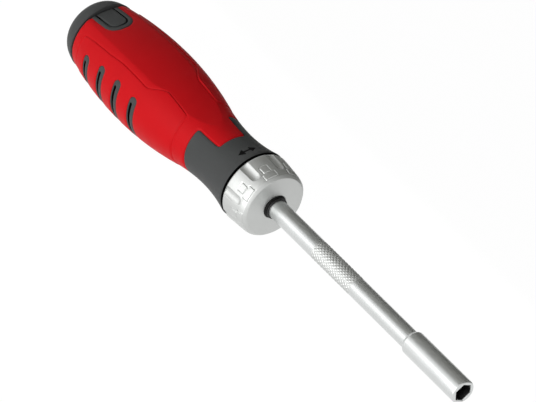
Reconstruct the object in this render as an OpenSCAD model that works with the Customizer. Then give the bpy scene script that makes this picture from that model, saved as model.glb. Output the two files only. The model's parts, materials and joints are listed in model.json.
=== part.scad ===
// Ratcheting screwdriver with a bit magazine in its handle.
// Millimetres. The origin is the middle of the socket's mouth.
// X points out of the socket, Z points up through the release button.
// A station is a distance from the mouth towards the handle.

/* [Blade] */
// Diameter of the round blade.
blade_d = 8; // [7.6:0.2:8.2]
// Diameter of the bit socket.
socket_d = 10; // [9.6:0.2:12]
// Length of the socket at its full diameter.
socket_len = 30; // [27:1:40]
// Width across the flats of a bit.
bit_af = 6.35; // [6.3:0.05:6.4]
// Depth of the hex hole.
socket_depth = 13.5; // [11:0.5:15]
// Station of the selector ring's front rim.
blade_reach = 123.1; // [110:1:150]
// Station where the knurled band starts.
knurl_start = 68.8; // [45:1:75]
// Length of the knurled band.
knurl_len = 23.6; // [15:1:26]

/* [Selector] */
// Thickness of the ring's wall at its rear edge.
ring_wall = 2.94; // [2.7:0.1:3.6]
// Thickness of the ring's wall at its front rim.
rim_wall = 1.74; // [1.5:0.1:2.2]
// Length of the ring behind its front rim.
ring_len = 12.2; // [11.2:0.1:13.5]
// Number of scoops around the ring.
scoop_count = 8; // [6:2:12]
// Turn from forward to reverse, in degrees.
selector_throw = 40; // [36:1:42]

/* [Ratchet] */
// Number of teeth on the gear.
teeth = 24; // [24, 36]
// Tip diameter of the gear.
gear_d = 14; // [13.8:0.1:14.2]
// Depth of a tooth.
tooth_depth = 1.3; // [1:0.1:1.4]

/* [Handle] */
// Thickness of the handle's wall at the belly, outside the magazine's bore.
belly_wall = 7.67; // [6.8:0.1:9]
// Thickness of the neck's wall, outside the splines.
neck_wall = 2.2; // [1.8:0.1:3.4]
// Length from the collar's front to the end of the cap.
handle_len = 113.7; // [110:1:130]
// Thickness of the soft grip.
skin = 2.8; // [2.6:0.1:3]
// Height of the raised side panels.
panel_step = 0.3; // [0.2:0.1:0.5]
// Depth of the flat facet along the top.
facet_deep = 1.7; // [1.2:0.1:1.9]
// Distance from slot to slot.
slot_pitch = 11; // [9:0.5:11.5]
// Width of a slot.
slot_w = 3.4; // [2.6:0.2:4]
// Width of the slit in a slot's rib.
slit_w = 1.2; // [0.8:0.1:1.5]

/* [Magazine] */
// How far the magazine slides out.
magazine_travel = 42; // [36:1:42]
// Length of a bit.
bit_len = 25; // [23:0.5:25]

/* [Button] */
// Length of the release button.
button_len = 12.2; // [11:0.2:12.6]
// Width of the release button.
button_w = 7.6; // [6.8:0.2:8]
// How far the button is pressed.
button_travel = 1.5; // [1:0.1:1.6]

/* [Hidden] */
$fn = 72;
fit = 0.04;
run = 0.06;
play = 0.1;

blade_r = blade_d / 2;
socket_r = socket_d / 2;
hex_r = (bit_af + 0.12) / 2 / cos(30);
bit_r = bit_af / 2 / cos(30);
bit_at = 1.087 * bit_af;
bore_r = bit_at + bit_r + 0.63;
magnet_r = 2.9;
magnet_len = 3;
blade_front = socket_depth + magnet_len + 1.6;
socket_end = socket_len + 3;

// Stations of the selector and of the ratchet.
face_rise = 1.4;
rim_bevel = 1.1;
ring_face = blade_reach - face_rise;
ring_end = blade_reach + ring_len;
ring_gap = 1;
collar = ring_end + ring_gap;
seal_r = blade_r + 0.95;
seal_front = ring_face - 0.6;
clip_gap = 0.2;
scoop_r = 3;
scoop_front = 4.5;
scoop_lift = 1.8;
scoop_lean = 3;
cheek_r = 12.3;
ring_bore = cheek_r + run;
ring_r = ring_bore + ring_wall;
ring_front_r = ring_bore + rim_wall;
cheek_front = collar - 2.9;
pawl_back = cheek_front - 0.25;
pawl_len = 4.6;
pawl_front = pawl_back - pawl_len;
cover_back = pawl_front - 0.2;
cover_len = 1.2;
cover_front = cover_back - cover_len;
cover_r = 10.6;
clip_front = collar - 2.1;
clip_len = 0.8;
clip_in = 11.7;
clip_out = 12.9;

// Gear and rocker pawls.
gear_r = gear_d / 2;
gear_root = gear_r - tooth_depth;
pitch = 360 / teeth;
space_root = 2.2;
space_tip = 5.3;
nose_clear = 0.1;
nose_tip = gear_root + 0.15;
nose_travel = (tooth_depth + 0.1) / 2;
nose_angle = 45;
tangent_r = nose_tip + nose_travel;
pin_at = tangent_r / cos(nose_angle);
rock = asin(nose_travel / (tangent_r * tan(nose_angle)));
pin_r = 1;
hub_r = 1.9;
pawl_in = gear_r + 1;
pawl_out = 10.7;
pawl_half = 52;
lean = selector_throw / 2;
leaf_t = 0.4;
crown = pawl_out - rock * PI / 180 * pin_at * sin(lean) + 0.06 + leaf_t;
leaf_end_r = ring_bore - 0.3;
leaf_half = 20;
leaf_rise = leaf_end_r * cos(leaf_half) - crown;
leaf_chord = leaf_end_r * sin(leaf_half);
leaf_bow = (leaf_chord * leaf_chord + leaf_rise * leaf_rise) / (2 * leaf_rise);
lug_in = 11.85;
pillar_half = 22;
pillar_in = gear_r + 0.6;
pillar_out = ring_bore - 0.4;
lug_half = 2.8;
stop_turn = 90 - pillar_half - lug_half - 0.6;
cover_screw_at = 9.4;
cover_screw_r = 1.1;
cover_screw_len = 4;
cover_head_len = 0.75;
pin_seat = 2;

// Blade inside the handle.
seat_front = pawl_front - 0.1;
seat_back = cheek_front - 0.1;
seat_flat = blade_r - 0.8;
journal_r = blade_r - 0.8;
spigot_end = collar + 20.7;
spigot_r = 10.2;
spline_r = 10.9;
spline_w = 3;
spline_count = 6;
spline_end = collar + 13.4;
tenon_r = 9.4;
washer_r = 5.2;
washer_len = 0.8;
tail_clip_r = 4.8;
tail_clip_len = 0.8;
tail_front = spigot_end + 0.1;
journal_end = tail_front + washer_len + tail_clip_len + 1;
pocket_r = washer_r + 0.4;
pocket_end = journal_end + 0.8;
bulkhead = collar + 28.7;
throat_r = bore_r - 1.3;
throat_end = bulkhead + 7;
house_screw_at = 7.2;
house_screw_r = 1.4;
house_head_r = 2.5;
house_head_len = 2;
house_bite = 7;

// Handle outline, three arcs that meet without a corner and a flare at the front.
tail = collar + handle_len;
neck_s = collar + 0.1557 * handle_len;
belly_s = collar + 0.613 * handle_len;
belly_r = bore_r + belly_wall;
belly_d = 2 * belly_r;
neck_r = spline_r + neck_wall;
rise = belly_r - neck_r;
span = belly_s - neck_s;
arc_sum = (span * span + rise * rise) / (2 * rise);
arc_front = arc_sum * 0.653;
arc_neck = arc_sum - arc_front;
tail_cut = tail - 9.3;
rear = tail_cut - belly_s;
rear_drop = 0.44 * belly_wall;
arc_rear = (rear * rear + rear_drop * rear_drop) / (2 * rear_drop);
arc_flare = 70;
join_s = belly_s - span * arc_front / arc_sum;
function drop(a, d) = a - sqrt(a * a - d * d);
function wave(s) =
    s > belly_s ? belly_r - drop(arc_rear, s - belly_s) :
    s > join_s ? belly_r - drop(arc_front, s - belly_s) :
    s > neck_s ? neck_r + drop(arc_neck, s - neck_s) :
    neck_r + drop(arc_flare, s - neck_s);
function outline(a, b, n, d) = [for (i = [0:n]) [wave(a + (b - a) * i / n) - d, a + (b - a) * i / n]];
function back(p) = [for (i = [len(p) - 1:-1:0]) p[i]];
function ramp(s, a, b) = min(1, (s - a) / (b - a));
function fade(s) = ramp(s, skin_front + 6, skin_front + 16);
function facet(s) = facet_deep * (0.75 * ramp(s, skin_front - 4, skin_front + 10)
    + 0.25 * max(0, ramp(s, jog_front, jog_back)));
function facet_line(a, b, n) = [for (i = [0:n]) let (s = a + (b - a) * i / n) [-s, wave(s) - facet(s)]];
function lowered(a, b, n) = [for (i = [0:n]) let (s = a + (b - a) * i / n)
    [wave(s) - panel_step * fade(s), s]];

skin_front = collar + 27.8;
tongue_front = spline_end + 1.5;
tongue_w = 11.2;
tongue_flare = 1.2;
skin_in = skin + fit;
tail_gap = 0.3;
panel_wide = 12;
panel_narrow = 7;
jog_front = belly_s - 21;
jog_back = belly_s - 12;
slot_top = 15.3;
slot_to = 122;
slot_low = 0.3;
slit_back = 0.6;
slit_deep = 1.8;
slit_half = 9.5;

// Magazine.
carrier_r = bore_r - play;
disc_r = bore_r - 0.6;
hub_back = tail - 4.8;
hub_front = hub_back - 15.4;
bit_room = 0.8;
bits_front = hub_front - bit_room - bit_len;
guide_back = bits_front - bit_room;
guide_len = 0.45 * (guide_back - bulkhead);
carrier_front = guide_back - guide_len;
stem_r = 3.4;
pocket_af = bit_af + 0.1;
mouth_w = 5.7;
disc_len = 4;
bit_end = 9;
bit_lap = 0.5;
bit_waist = 2.6;
tie_r = 1.5;
tie_head_r = 2.75;
tie_head_len = 2.4;
spring_seat = 4;
spring_r = 4;
wire_r = 0.45;
spring_turns = 7;
leaf_w = 4.8;
catch_t = 0.5;
catch_z = bore_r - 1.7;
catch_front = carrier_front + 0.52 * guide_len;
rivet_at = carrier_front + 0.7 * guide_len;
rivet_r = 1;
rivet_head_len = 0.5;
rivet_foot = 5;
groove_w = leaf_w + 0.6;

// Button.
button_back = tail_cut - 0.4;
button_front = button_back - button_len;
button_gap = 0.5;
rim_w = 1.9;
boss_z = bore_r + 1;
flange_z = carrier_r + button_travel + 0.25;
flange_t = 1.2;
flange_side = 1.1;
flange_front = button_front + 0.6;
flange_back = button_back - 2.3;
recess_back = flange_back + 0.4;
tooth_top = boss_z - 0.2;
tooth_back = recess_back - 0.15;
tooth_len = 2;
boss_front = tooth_back - tooth_len - 1.5;
boss_w = leaf_w - 0.8;
wall_top = tooth_top + 0.3;
shelf_z = wall_top + button_travel + play;

// Screw that stops the carrier.
stop_s = tail - 18;
stop_r = 1.45;
stop_tip = bore_r - 1.9;
key_w = 3.4;
key_z = bore_r - 2.3;

// Turns an outline of radius and station about the long axis.
module lathe(p) {
    rotate([0, -90, 0])
        rotate_extrude()
            polygon(p);
}

// Round bar along the long axis.
module rod(r, a, b) {
    rotate([0, -90, 0])
        translate([0, 0, a])
            cylinder(r = r, h = b - a);
}

// Flat shape across the long axis; its first axis is up.
module slab(a, b) {
    rotate([0, -90, 0])
        translate([0, 0, a])
            linear_extrude(height = b - a)
                children();
}

// Shape drawn from above in stations, standing between two heights.
module plan(z0, z1) {
    translate([0, 0, z0])
        linear_extrude(height = z1 - z0)
            mirror([1, 0])
                children();
}

// Block between two stations.
module block(a, b, w, z0, z1) {
    translate([-b, -w / 2, z0])
        cube([b - a, w, z1 - z0]);
}

// Everything behind the line of the cap.
module behind() {
    block(tail_cut, tail + belly_d, 2 * belly_d, -belly_d, belly_d);
}

// Everything under the flat facet along the top.
module under_facet(a, b, n) {
    rotate([90, 0, 0])
        linear_extrude(height = 2 * belly_d, center = true)
            polygon(concat([[-a, 0]], facet_line(a, b, n), [[-b, 0]]));
}

// Wedge of a circle about the vertical direction.
module sector(half) {
    r = belly_r;
    polygon([[0, 0], [r * cos(half), -r * sin(half)], [r, -r * tan(half / 2)],
        [r, r * tan(half / 2)], [r * cos(half), r * sin(half)]]);
}

module tongue_shape(g) {
    w0 = tongue_w / 2 + g;
    w1 = tongue_w / 2 + tongue_flare + g;
    round_r = 2.4;
    polygon([[tongue_front - g + round_r, -w0], [skin_front + 1, -w1],
        [skin_front + 1, w1], [tongue_front - g + round_r, w0]]);
    translate([tongue_front - g, -w0 + round_r])
        square([round_r + 0.01, 2 * (w0 - round_r)]);
    for (side = [-1, 1])
        translate([tongue_front - g + round_r, side * (w0 - round_r)])
            circle(r = round_r);
}

module button_shape(g, rear) {
    r = button_w / 2 + g;
    translate([button_front + button_w / 2, 0])
        circle(r = r);
    translate([button_front + button_w / 2, -r])
        square([button_back + rear - button_front - button_w / 2, 2 * r]);
}

// One slot, drawn round the axis on the side of positive Y.
module slot_band(s, w, r0, r1, from, to) {
    rotate([0, -90, 0])
        rotate([0, 0, from])
            rotate_extrude(angle = to - from)
                translate([r0, s - w / 2])
                    square([r1 - r0, w]);
    for (a = [from, to])
        rotate([-a, 0, 0])
            translate([-s, 0, r0])
                cylinder(r = w / 2, h = r1 - r0);
}

module slots(w) {
    for (i = [-1:2], side = [0, 1]) {
        s = belly_s + i * slot_pitch;
        from = asin((slot_top + slot_w / 4) / wave(s)) + slot_w / 4 / wave(s) * 180 / PI;
        mirror([0, side, 0])
            slot_band(s, w, belly_r - 8, belly_r + 3, from, slot_to);
    }
}

// Straight slits, one in each slot's rib.
module slits() {
    for (i = [-1:2], side = [0, 1])
        mirror([0, side, 0])
            translate([-belly_s - i * slot_pitch - slit_back, slot_top - slit_deep, -slit_half])
                translate([-slit_w / 2, 0, 0])
                    cube([slit_w, belly_r, 2 * slit_half]);
}

module grip_core() {
    color([0.29, 0.3, 0.3])
    difference() {
        union() {
            lathe(concat([[0, collar], [wave(collar) - 0.6, collar]],
                outline(collar + 0.4, skin_front, 16, 0),
                outline(skin_front, tail, 40, skin_in), [[0, tail]]));
            intersection() {
                lathe(concat([[belly_r - 9, belly_s - 20]], outline(belly_s - 20, belly_s + 32, 26, slot_low),
                    [[belly_r - 9, belly_s + 32]]));
                slots(slot_w - 2 * fit);
            }
            intersection() {
                under_facet(button_front - 6, tail, 3);
                plan(bore_r + 1, belly_d)
                    button_shape(button_gap + rim_w, 8);
            }
        }
        intersection() {
            lathe(concat(outline(tongue_front - 1, skin_front + 0.5, 10, -skin),
                back(outline(tongue_front - 1, skin_front + 0.5, 10, skin_in))));
            plan(0, belly_d)
                tongue_shape(fit);
        }
        slab(collar - 1, spline_end)
            spigot_shape(fit);
        rod(tenon_r + fit, spline_end - 1, spigot_end);
        rod(pocket_r, spigot_end - 1, pocket_end);
        rod(throat_r, bulkhead, tail);
        rod(bore_r, throat_end, tail + 5);
        for (side = [-1, 1])
            translate([0, side * house_screw_at, 0])
                rod(house_screw_r + fit, spigot_end - 1, bulkhead + 1);
        slits();
        plan(wall_top, belly_d)
            button_shape(button_gap, 8);
        block(button_front - 1, recess_back, button_w + 2 * flange_side + 0.6, bore_r / 2,
            flange_z + flange_t + button_gap);
        translate([-stop_s, 0, -belly_r])
            cylinder(r = stop_r + fit, h = belly_r);
        behind();
    }
}

module grip_overmould() {
    color([0.78, 0.11, 0.14])
    difference() {
        lathe(concat(outline(tongue_front, tail, 64, 0), back(outline(tongue_front, tail, 64, skin))));
        difference() {
            rod(belly_r + 2, tongue_front - 2, skin_front);
            plan(0, belly_d)
                tongue_shape(0);
        }
        intersection() {
            lathe(concat(outline(skin_front + 4, tail, 40, -2), back(lowered(skin_front + 4, tail, 40))));
            plan(0, belly_d)
                panel_gap();
        }
        difference() {
            plan(bore_r, 2 * belly_d)
                panel_gap();
            under_facet(skin_front - 8, tail + 2, 9);
        }
        slots(slot_w);
        plan(0, belly_d)
            button_shape(button_gap + rim_w + fit, 8);
        translate([-stop_s, 0, -belly_r - 2])
            cylinder(r = stop_r + 1, h = belly_r);
        behind();
    }
}

// The lower strip of the grip between the two raised panels, from above.
module panel_gap() {
    polygon([[skin_front - 6, -panel_narrow], [jog_front, -panel_narrow], [jog_back, -panel_wide],
        [tail + 1, -panel_wide], [tail + 1, panel_wide], [jog_back, panel_wide],
        [jog_front, panel_narrow], [skin_front - 6, panel_narrow]]);
}

module spigot_shape(g) {
    circle(r = spigot_r + g);
    for (i = [0:spline_count - 1])
        rotate(i * 360 / spline_count + 30)
            translate([0, -spline_w / 2 - g])
                square([spline_r + g, spline_w + 2 * g]);
}

module ratchet_housing() {
    color([0.55, 0.56, 0.58])
    difference() {
        union() {
            rod(cheek_r, cheek_front, collar - 0.02);
            slab(collar - 0.5, spline_end - play)
                spigot_shape(0);
            rod(tenon_r, collar, spigot_end);
            slab(cover_back, cheek_front + 0.5)
                for (turn = [90, 270])
                    rotate(turn)
                        intersection() {
                            difference() {
                                circle(r = pillar_out);
                                circle(r = pillar_in);
                            }
                            sector(pillar_half);
                        }
        }
        rod(journal_r + run, cheek_front - 1, spigot_end + 1);
        difference() {
            rod(cheek_r + 1, clip_front - 0.05, clip_front + clip_len + 0.05);
            rod(clip_in - 0.1, clip_front - 1, clip_front + clip_len + 1);
        }
        for (side = [-1, 1]) {
            translate([0, side * house_screw_at, 0])
                rod(house_screw_r + fit, spigot_end - house_bite - 0.5, spigot_end + 1);
            translate([0, side * cover_screw_at, 0])
                rod(cover_screw_r + fit, cover_back - 1, cover_back + cover_screw_len + 0.2);
            translate([0, 0, side * pin_at])
                rod(pin_r + 0.02, cheek_front - 1, cheek_front + pin_seat);
        }
    }
}

module pawl_cover() {
    color([0.62, 0.63, 0.64])
    difference() {
        rod(cover_r, cover_front, cover_back - 0.02);
        rod(blade_r + 1.04, cover_front - 1, cover_back + 1);
        for (side = [-1, 1]) {
            translate([0, side * cover_screw_at, 0])
                rod(cover_screw_r + fit, cover_front - 1, cover_back + 1);
            translate([0, 0, side * pin_at])
                rod(pin_r + 0.02, cover_front - 1, cover_back + 1);
        }
    }
}

module cover_screws() {
    color([0.7, 0.7, 0.72])
    for (side = [-1, 1])
        translate([0, side * cover_screw_at, 0]) {
            rod(cover_screw_r, cover_front - 0.1, cover_back + cover_screw_len);
            difference() {
                rod(cover_screw_r + 0.05, cover_front - cover_head_len, cover_front - 0.02);
                block(cover_front - 2, cover_front - 0.4, 0.4, -2, 2);
            }
        }
}

module pawl_pins() {
    color([0.75, 0.75, 0.77])
    for (side = [-1, 1])
        translate([0, 0, side * pin_at])
            rod(pin_r, cover_front + 0.05, cheek_front + pin_seat - play);
}

module blade_bush() {
    color([0.72, 0.55, 0.3])
    difference() {
        union() {
            rod(blade_r + 1, ring_face + 3.1, cover_back - 0.1);
            rod(blade_r + 2, cover_front - 0.8, cover_front - 0.02);
        }
        rod(blade_r + run, ring_face, cover_back + 1);
    }
}

module ring_clip() {
    color([0.2, 0.2, 0.22])
    slab(clip_front, clip_front + clip_len)
        difference() {
            circle(r = clip_out);
            circle(r = clip_in);
            translate([8, -2])
                square([8, 4]);
        }
}

module housing_screws() {
    color([0.6, 0.6, 0.62])
    for (side = [-1, 1])
        translate([0, side * house_screw_at, 0])
            difference() {
                union() {
                    rod(house_screw_r, spigot_end - house_bite, bulkhead + 0.5);
                    rod(house_head_r, bulkhead + 0.02, bulkhead + house_head_len);
                }
                block(bulkhead + 0.6 * house_head_len, bulkhead + 2 * house_head_len, 0.8,
                    -house_head_r - 1, house_head_r + 1);
            }
}

module gap_washer() {
    color([0.05, 0.05, 0.05])
    difference() {
        rod(ring_r - 0.8, ring_end + 0.15, collar - 0.03);
        rod(cheek_r + 0.05, ring_end - 1, collar + 1);
    }
}

module stop_screw() {
    color([0.5, 0.5, 0.52])
    difference() {
        translate([-stop_s, 0, -wave(stop_s) + skin + 0.2])
            cylinder(r = stop_r, h = wave(stop_s) - skin - 0.2 - stop_tip);
        translate([-stop_s, 0, -wave(stop_s) + skin - 1])
            cylinder(r = 0.8, h = 3, $fn = 6);
    }
}

// Points of a ring of wire at one place along the coil.
function coil(i, per, r, w, a, len, count) =
    let (t = 360 * i / per, s = a + len * i / count)
    [for (k = [0:5]) let (q = 60 * k)
        [-s - w * sin(q), (r + w * cos(q)) * sin(t), (r + w * cos(q)) * cos(t)]];

module eject_spring() {
    per = 12;
    count = per * spring_turns;
    first = bulkhead + wire_r + 0.1;
    last = carrier_front + spring_seat - wire_r - 0.1;
    pts = [for (i = [0:count]) each coil(i, per, spring_r, wire_r, first, last - first, count)];
    sides = [for (i = [0:count - 1], k = [0:5]) each
        [[6 * i + k, 6 * i + (k + 1) % 6, 6 * i + 6 + (k + 1) % 6],
        [6 * i + k, 6 * i + 6 + (k + 1) % 6, 6 * i + 6 + k]]];
    ends = [[5, 4, 3, 2, 1, 0], [for (k = [0:5]) 6 * count + k]];
    color([0.7, 0.7, 0.72])
    polyhedron(points = pts, faces = concat(sides, ends), convexity = 12);
}

module lug(turn) {
    rotate(turn)
        intersection() {
            difference() {
                circle(r = ring_bore + 0.4);
                circle(r = lug_in);
            }
            sector(lug_half);
        }
}

// Rounded cutter that makes one scoop.
module scoop() {
    translate([-blade_reach - scoop_front, 0, ring_r + scoop_lift])
        rotate([0, scoop_lean - 90, 0])
            rotate_extrude()
                intersection() {
                    union() {
                        circle(r = scoop_r);
                        square([scoop_r, 2 * ring_len]);
                    }
                    translate([0, -ring_len])
                        square([2 * scoop_r, 3 * ring_len]);
                }
}

module selector_ring() {
    wall = ring_front_r;
    color([0.72, 0.73, 0.74]) {
        difference() {
            lathe([[seal_r, ring_face], [wall - rim_bevel, blade_reach - rim_bevel], [wall, blade_reach],
                [wall + 0.4, blade_reach + ring_len * 0.15], [ring_r - 0.4, blade_reach + ring_len * 0.5],
                [ring_r - 0.1, blade_reach + ring_len * 0.8], [ring_r, ring_end - 0.5],
                [ring_r - 0.2, ring_end], [ring_bore, ring_end], [ring_bore, blade_reach + 2.3],
                [seal_r, ring_face + 2.2]]);
            for (i = [0:scoop_count - 1])
                rotate([(i + 0.5) * 360 / scoop_count, 0, 0])
                    scoop();
            difference() {
                rod(clip_out + 0.3, clip_front - 0.15, clip_front + clip_len + 0.15);
                rod(seal_r, clip_front - 1, clip_front + clip_len + 1);
            }
        }
        slab(pawl_front + play, pawl_back - play)
            for (turn = [0, 180])
                rotate(turn) {
                    lug(stop_turn);
                    lug(selector_throw - stop_turn);
                    lug(lean + leaf_half + 4);
                    lug(lean - leaf_half - 4);
                }
    }
}

module pawl_springs() {
    color([0.6, 0.62, 0.66])
    slab(pawl_front + 0.4, pawl_back - 0.4)
        for (turn = [0, 180])
            rotate(turn + lean)
                intersection() {
                    translate([crown + leaf_bow, 0])
                        difference() {
                            circle(r = leaf_bow + leaf_t);
                            circle(r = leaf_bow);
                        }
                    translate([crown - 2, -leaf_chord])
                        square([leaf_rise + 2 + leaf_t, 2 * leaf_chord]);
                    circle(r = ring_bore - 0.05);
                }
}

module dust_seal() {
    color([0.04, 0.04, 0.04])
    difference() {
        union() {
            rod(seal_r - 0.02, ring_face - 0.2, ring_face + 2);
            rod(seal_r - 0.2, seal_front, ring_face);
        }
        rod(blade_r + run, ring_face - 3, ring_face + 4);
    }
}

// A nose of the pawl, seated in a tooth space at the given turn.
module nose(turn) {
    tip_w = nose_tip * tan(space_root) - nose_clear;
    top_w = gear_r * tan(space_tip) - nose_clear;
    rotate(turn)
        polygon([[nose_tip, -tip_w], [gear_r, -top_w], [pawl_in + 1, -1.1],
            [pawl_in + 1, 1.1], [gear_r, top_w], [nose_tip, tip_w]]);
}

module about_pin(turn) {
    translate([pin_at, 0])
        rotate(turn)
            translate([-pin_at, 0])
                children();
}

module pawl_shape() {
    difference() {
        union() {
            intersection() {
                difference() {
                    circle(r = pawl_out);
                    circle(r = pawl_in);
                }
                sector(pawl_half);
            }
            translate([pin_at, 0])
                circle(r = hub_r);
            about_pin(-rock)
                nose(nose_angle);
            about_pin(rock)
                nose(-nose_angle);
        }
        translate([pin_at, 0])
            circle(r = pin_r + 0.04);
    }
}

module pawl_upper() {
    color([0.5, 0.5, 0.53])
    slab(pawl_front + play, pawl_back - play)
        about_pin(rock)
            pawl_shape();
}

module pawl_lower() {
    color([0.5, 0.5, 0.53])
    slab(pawl_front + play, pawl_back - play)
        rotate(180)
            about_pin(rock)
                pawl_shape();
}

module flats(w, r) {
    intersection() {
        circle(r = r);
        square([2 * w, 4 * r], center = true);
    }
}

module blade_shaft() {
    color([0.74, 0.75, 0.76])
    difference() {
        union() {
            rod(blade_r, blade_front, seat_front);
            rod(blade_r + 0.08, knurl_start, knurl_start + knurl_len);
            slab(seat_front - 0.5, seat_back)
                flats(seat_flat, blade_r);
            rod(journal_r, seat_back - 1, journal_end);
        }
        difference() {
            rod(blade_r + 1, seal_front - clip_gap - clip_len, seal_front - 0.1);
            rod(blade_r - 0.45, ring_face - 4, ring_face);
        }
        difference() {
            rod(blade_r, tail_front + washer_len + 0.1, tail_front + washer_len + tail_clip_len + 0.2);
            rod(journal_r - 0.5, tail_front, journal_end + 1);
        }
    }
}

module ratchet_gear() {
    color([0.55, 0.55, 0.58])
    slab(pawl_front + 0.05, pawl_back)
        difference() {
            polygon([for (i = [0:teeth - 1]) let (a = i * pitch) each [
                [gear_root * cos(a - space_root), gear_root * sin(a - space_root)],
                [gear_root * cos(a + space_root), gear_root * sin(a + space_root)],
                [gear_r * cos(a + space_tip), gear_r * sin(a + space_tip)],
                [gear_r * cos(a + pitch - space_tip), gear_r * sin(a + pitch - space_tip)]]]);
            flats(seat_flat + 0.03, blade_r + 0.03);
        }
}

module bit_socket() {
    color([0.76, 0.77, 0.78])
    difference() {
        lathe([[0, 0], [socket_r - 0.5, 0], [socket_r, 0.5], [socket_r, socket_len],
            [blade_r + 0.3, socket_end], [0, socket_end]]);
        rotate([0, -90, 0])
            translate([0, 0, -1])
                cylinder(r = hex_r, h = socket_depth + 1, $fn = 6);
        rod(magnet_r + fit, socket_depth - 1, socket_depth + magnet_len + 0.1);
        difference() {
            rod(hex_r + 0.3, 4.5, 5.5);
            rod(2, 4, 6);
        }
        rod(blade_r + fit, blade_front - 0.1, socket_end + 1);
    }
}

module socket_magnet() {
    color([0.45, 0.45, 0.48])
    rod(magnet_r, socket_depth + 0.05, socket_depth + magnet_len);
}

module bit_clip() {
    color([0.35, 0.35, 0.38])
    slab(4.7, 5.3)
        difference() {
            circle(r = hex_r + 0.2);
            circle(r = hex_r - 0.3);
            translate([1, -1])
                square([6, 2]);
        }
}

module front_clip() {
    color([0.04, 0.04, 0.04])
    slab(seal_front - clip_gap - clip_len + 0.1, seal_front - clip_gap)
        difference() {
            circle(r = blade_r + 0.6);
            circle(r = blade_r - 0.4);
            translate([-8, -1.2])
                square([8, 2.4]);
        }
}

module tail_washer() {
    color([0.7, 0.7, 0.7])
    difference() {
        rod(washer_r, tail_front, tail_front + washer_len);
        rod(journal_r + run, tail_front - 1, tail_front + washer_len + 1);
    }
}

module tail_clip() {
    color([0.25, 0.25, 0.27])
    slab(tail_front + washer_len + 0.15, tail_front + washer_len + tail_clip_len + 0.15)
        difference() {
            circle(r = tail_clip_r);
            circle(r = journal_r - 0.45);
            translate([0, -journal_r / 2])
                square([2 * tail_clip_r, journal_r]);
        }
}

module magazine_cap() {
    front = tail_cut + tail_gap;
    end_r = wave(front);
    color([0.27, 0.28, 0.28])
    difference() {
        lathe([[0, front], [end_r - 0.3, front], [end_r, front + 0.3], [end_r - 0.55, tail - 6.5],
            [end_r - 1.15, tail - 4.6], [end_r - 2.2, tail - 2.8], [end_r - 3.6, tail - 1.4],
            [end_r - 5.5, tail - 0.6], [end_r - 9, tail - 0.15], [0, tail]]);
        rod(carrier_r + fit, front - 1, hub_back + 0.05);
        rod(tie_r + 0.02, front - 1, tail - 1.4);
    }
}

module bit_pockets() {
    for (i = [0:5])
        rotate(30 + 60 * i)
            translate([bit_at, 0]) {
                rotate(30)
                    circle(r = pocket_af / 2 / cos(30), $fn = 6);
                translate([0, -mouth_w / 2])
                    square([8, mouth_w]);
            }
}

module bit_carrier() {
    color([0.1, 0.1, 0.1])
    difference() {
        union() {
            rod(carrier_r, carrier_front, guide_back);
            rod(stem_r, guide_back - 1, hub_front + 1);
            for (s = [bits_front + bit_len - 14, bits_front + bit_len - 5])
                slab(s, s + disc_len)
                    difference() {
                        circle(r = disc_r);
                        bit_pockets();
                    }
            rod(carrier_r, hub_front, hub_back);
        }
        rod(tie_r + 0.1, carrier_front - 1, hub_back + 1);
        rod(spring_r + wire_r + 0.6, carrier_front - 1, carrier_front + spring_seat);
        rod(tie_head_r + 0.1, carrier_front, carrier_front + spring_seat + tie_head_len);
        block(carrier_front - 1, hub_front + 1, groove_w, catch_z - 0.02, belly_r);
        block(guide_back - 0.1, hub_back + 1, groove_w, catch_z - button_travel - 0.3, belly_r);
        translate([-rivet_at, 0, rivet_foot])
            cylinder(r = rivet_r + 0.02, h = belly_r);
        block(stop_s - magazine_travel - stop_r - 0.4, stop_s + stop_r + 0.4, key_w, -belly_r, -key_z);
    }
}

module tie_screw() {
    head = carrier_front + spring_seat;
    color([0.6, 0.6, 0.62])
    difference() {
        union() {
            rod(tie_r, head + 1, tail - 1.6);
            rod(tie_head_r, head, head + tie_head_len - 0.02);
        }
        rotate([0, -90, 0])
            translate([0, 0, head - 1])
                cylinder(r = 1.4, h = 2.4, $fn = 6);
    }
}

module latch_leaf() {
    color([0.66, 0.68, 0.7])
    difference() {
        union() {
            block(catch_front, tooth_back, leaf_w, catch_z, catch_z + catch_t);
            block(tooth_back - tooth_len, tooth_back, leaf_w, catch_z, tooth_top);
        }
        translate([-rivet_at, 0, rivet_foot])
            cylinder(r = rivet_r + 0.02, h = belly_r);
    }
}

module latch_rivet() {
    color([0.6, 0.6, 0.6])
    translate([-rivet_at, 0, 0]) {
        translate([0, 0, rivet_foot + play])
            cylinder(r = rivet_r, h = catch_z + catch_t - rivet_foot);
        translate([0, 0, catch_z + catch_t + 0.02])
            cylinder(r = rivet_r + 0.6, h = rivet_head_len);
    }
}

// Puts a bit into one of the carrier's six places.
module place_bit(i) {
    rotate([-(30 + 60 * i), 0, 0])
        translate([-bits_front, 0, bit_at])
            children();
}

module shank(from) {
    rotate([0, -90, 0])
        translate([0, 0, from])
            rotate([0, 0, 30])
                cylinder(r = bit_r, h = bit_len - from, $fn = 6);
}

module bit_slot(i, w, t) {
    color([0.5, 0.51, 0.53])
    place_bit(i) {
        shank(bit_end);
        rod(bit_waist, bit_end - 3, bit_end + bit_lap);
        intersection() {
            rod(w / 2, 0, bit_end - 3 + bit_lap);
            rotate([90, 0, 0])
                linear_extrude(height = 2 * w, center = true)
                    polygon([[0, -t / 2], [0, t / 2], [-5, 1.6], [-bit_end, 1.6], [-bit_end, -1.6],
                        [-5, -1.6]]);
        }
    }
}

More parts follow.
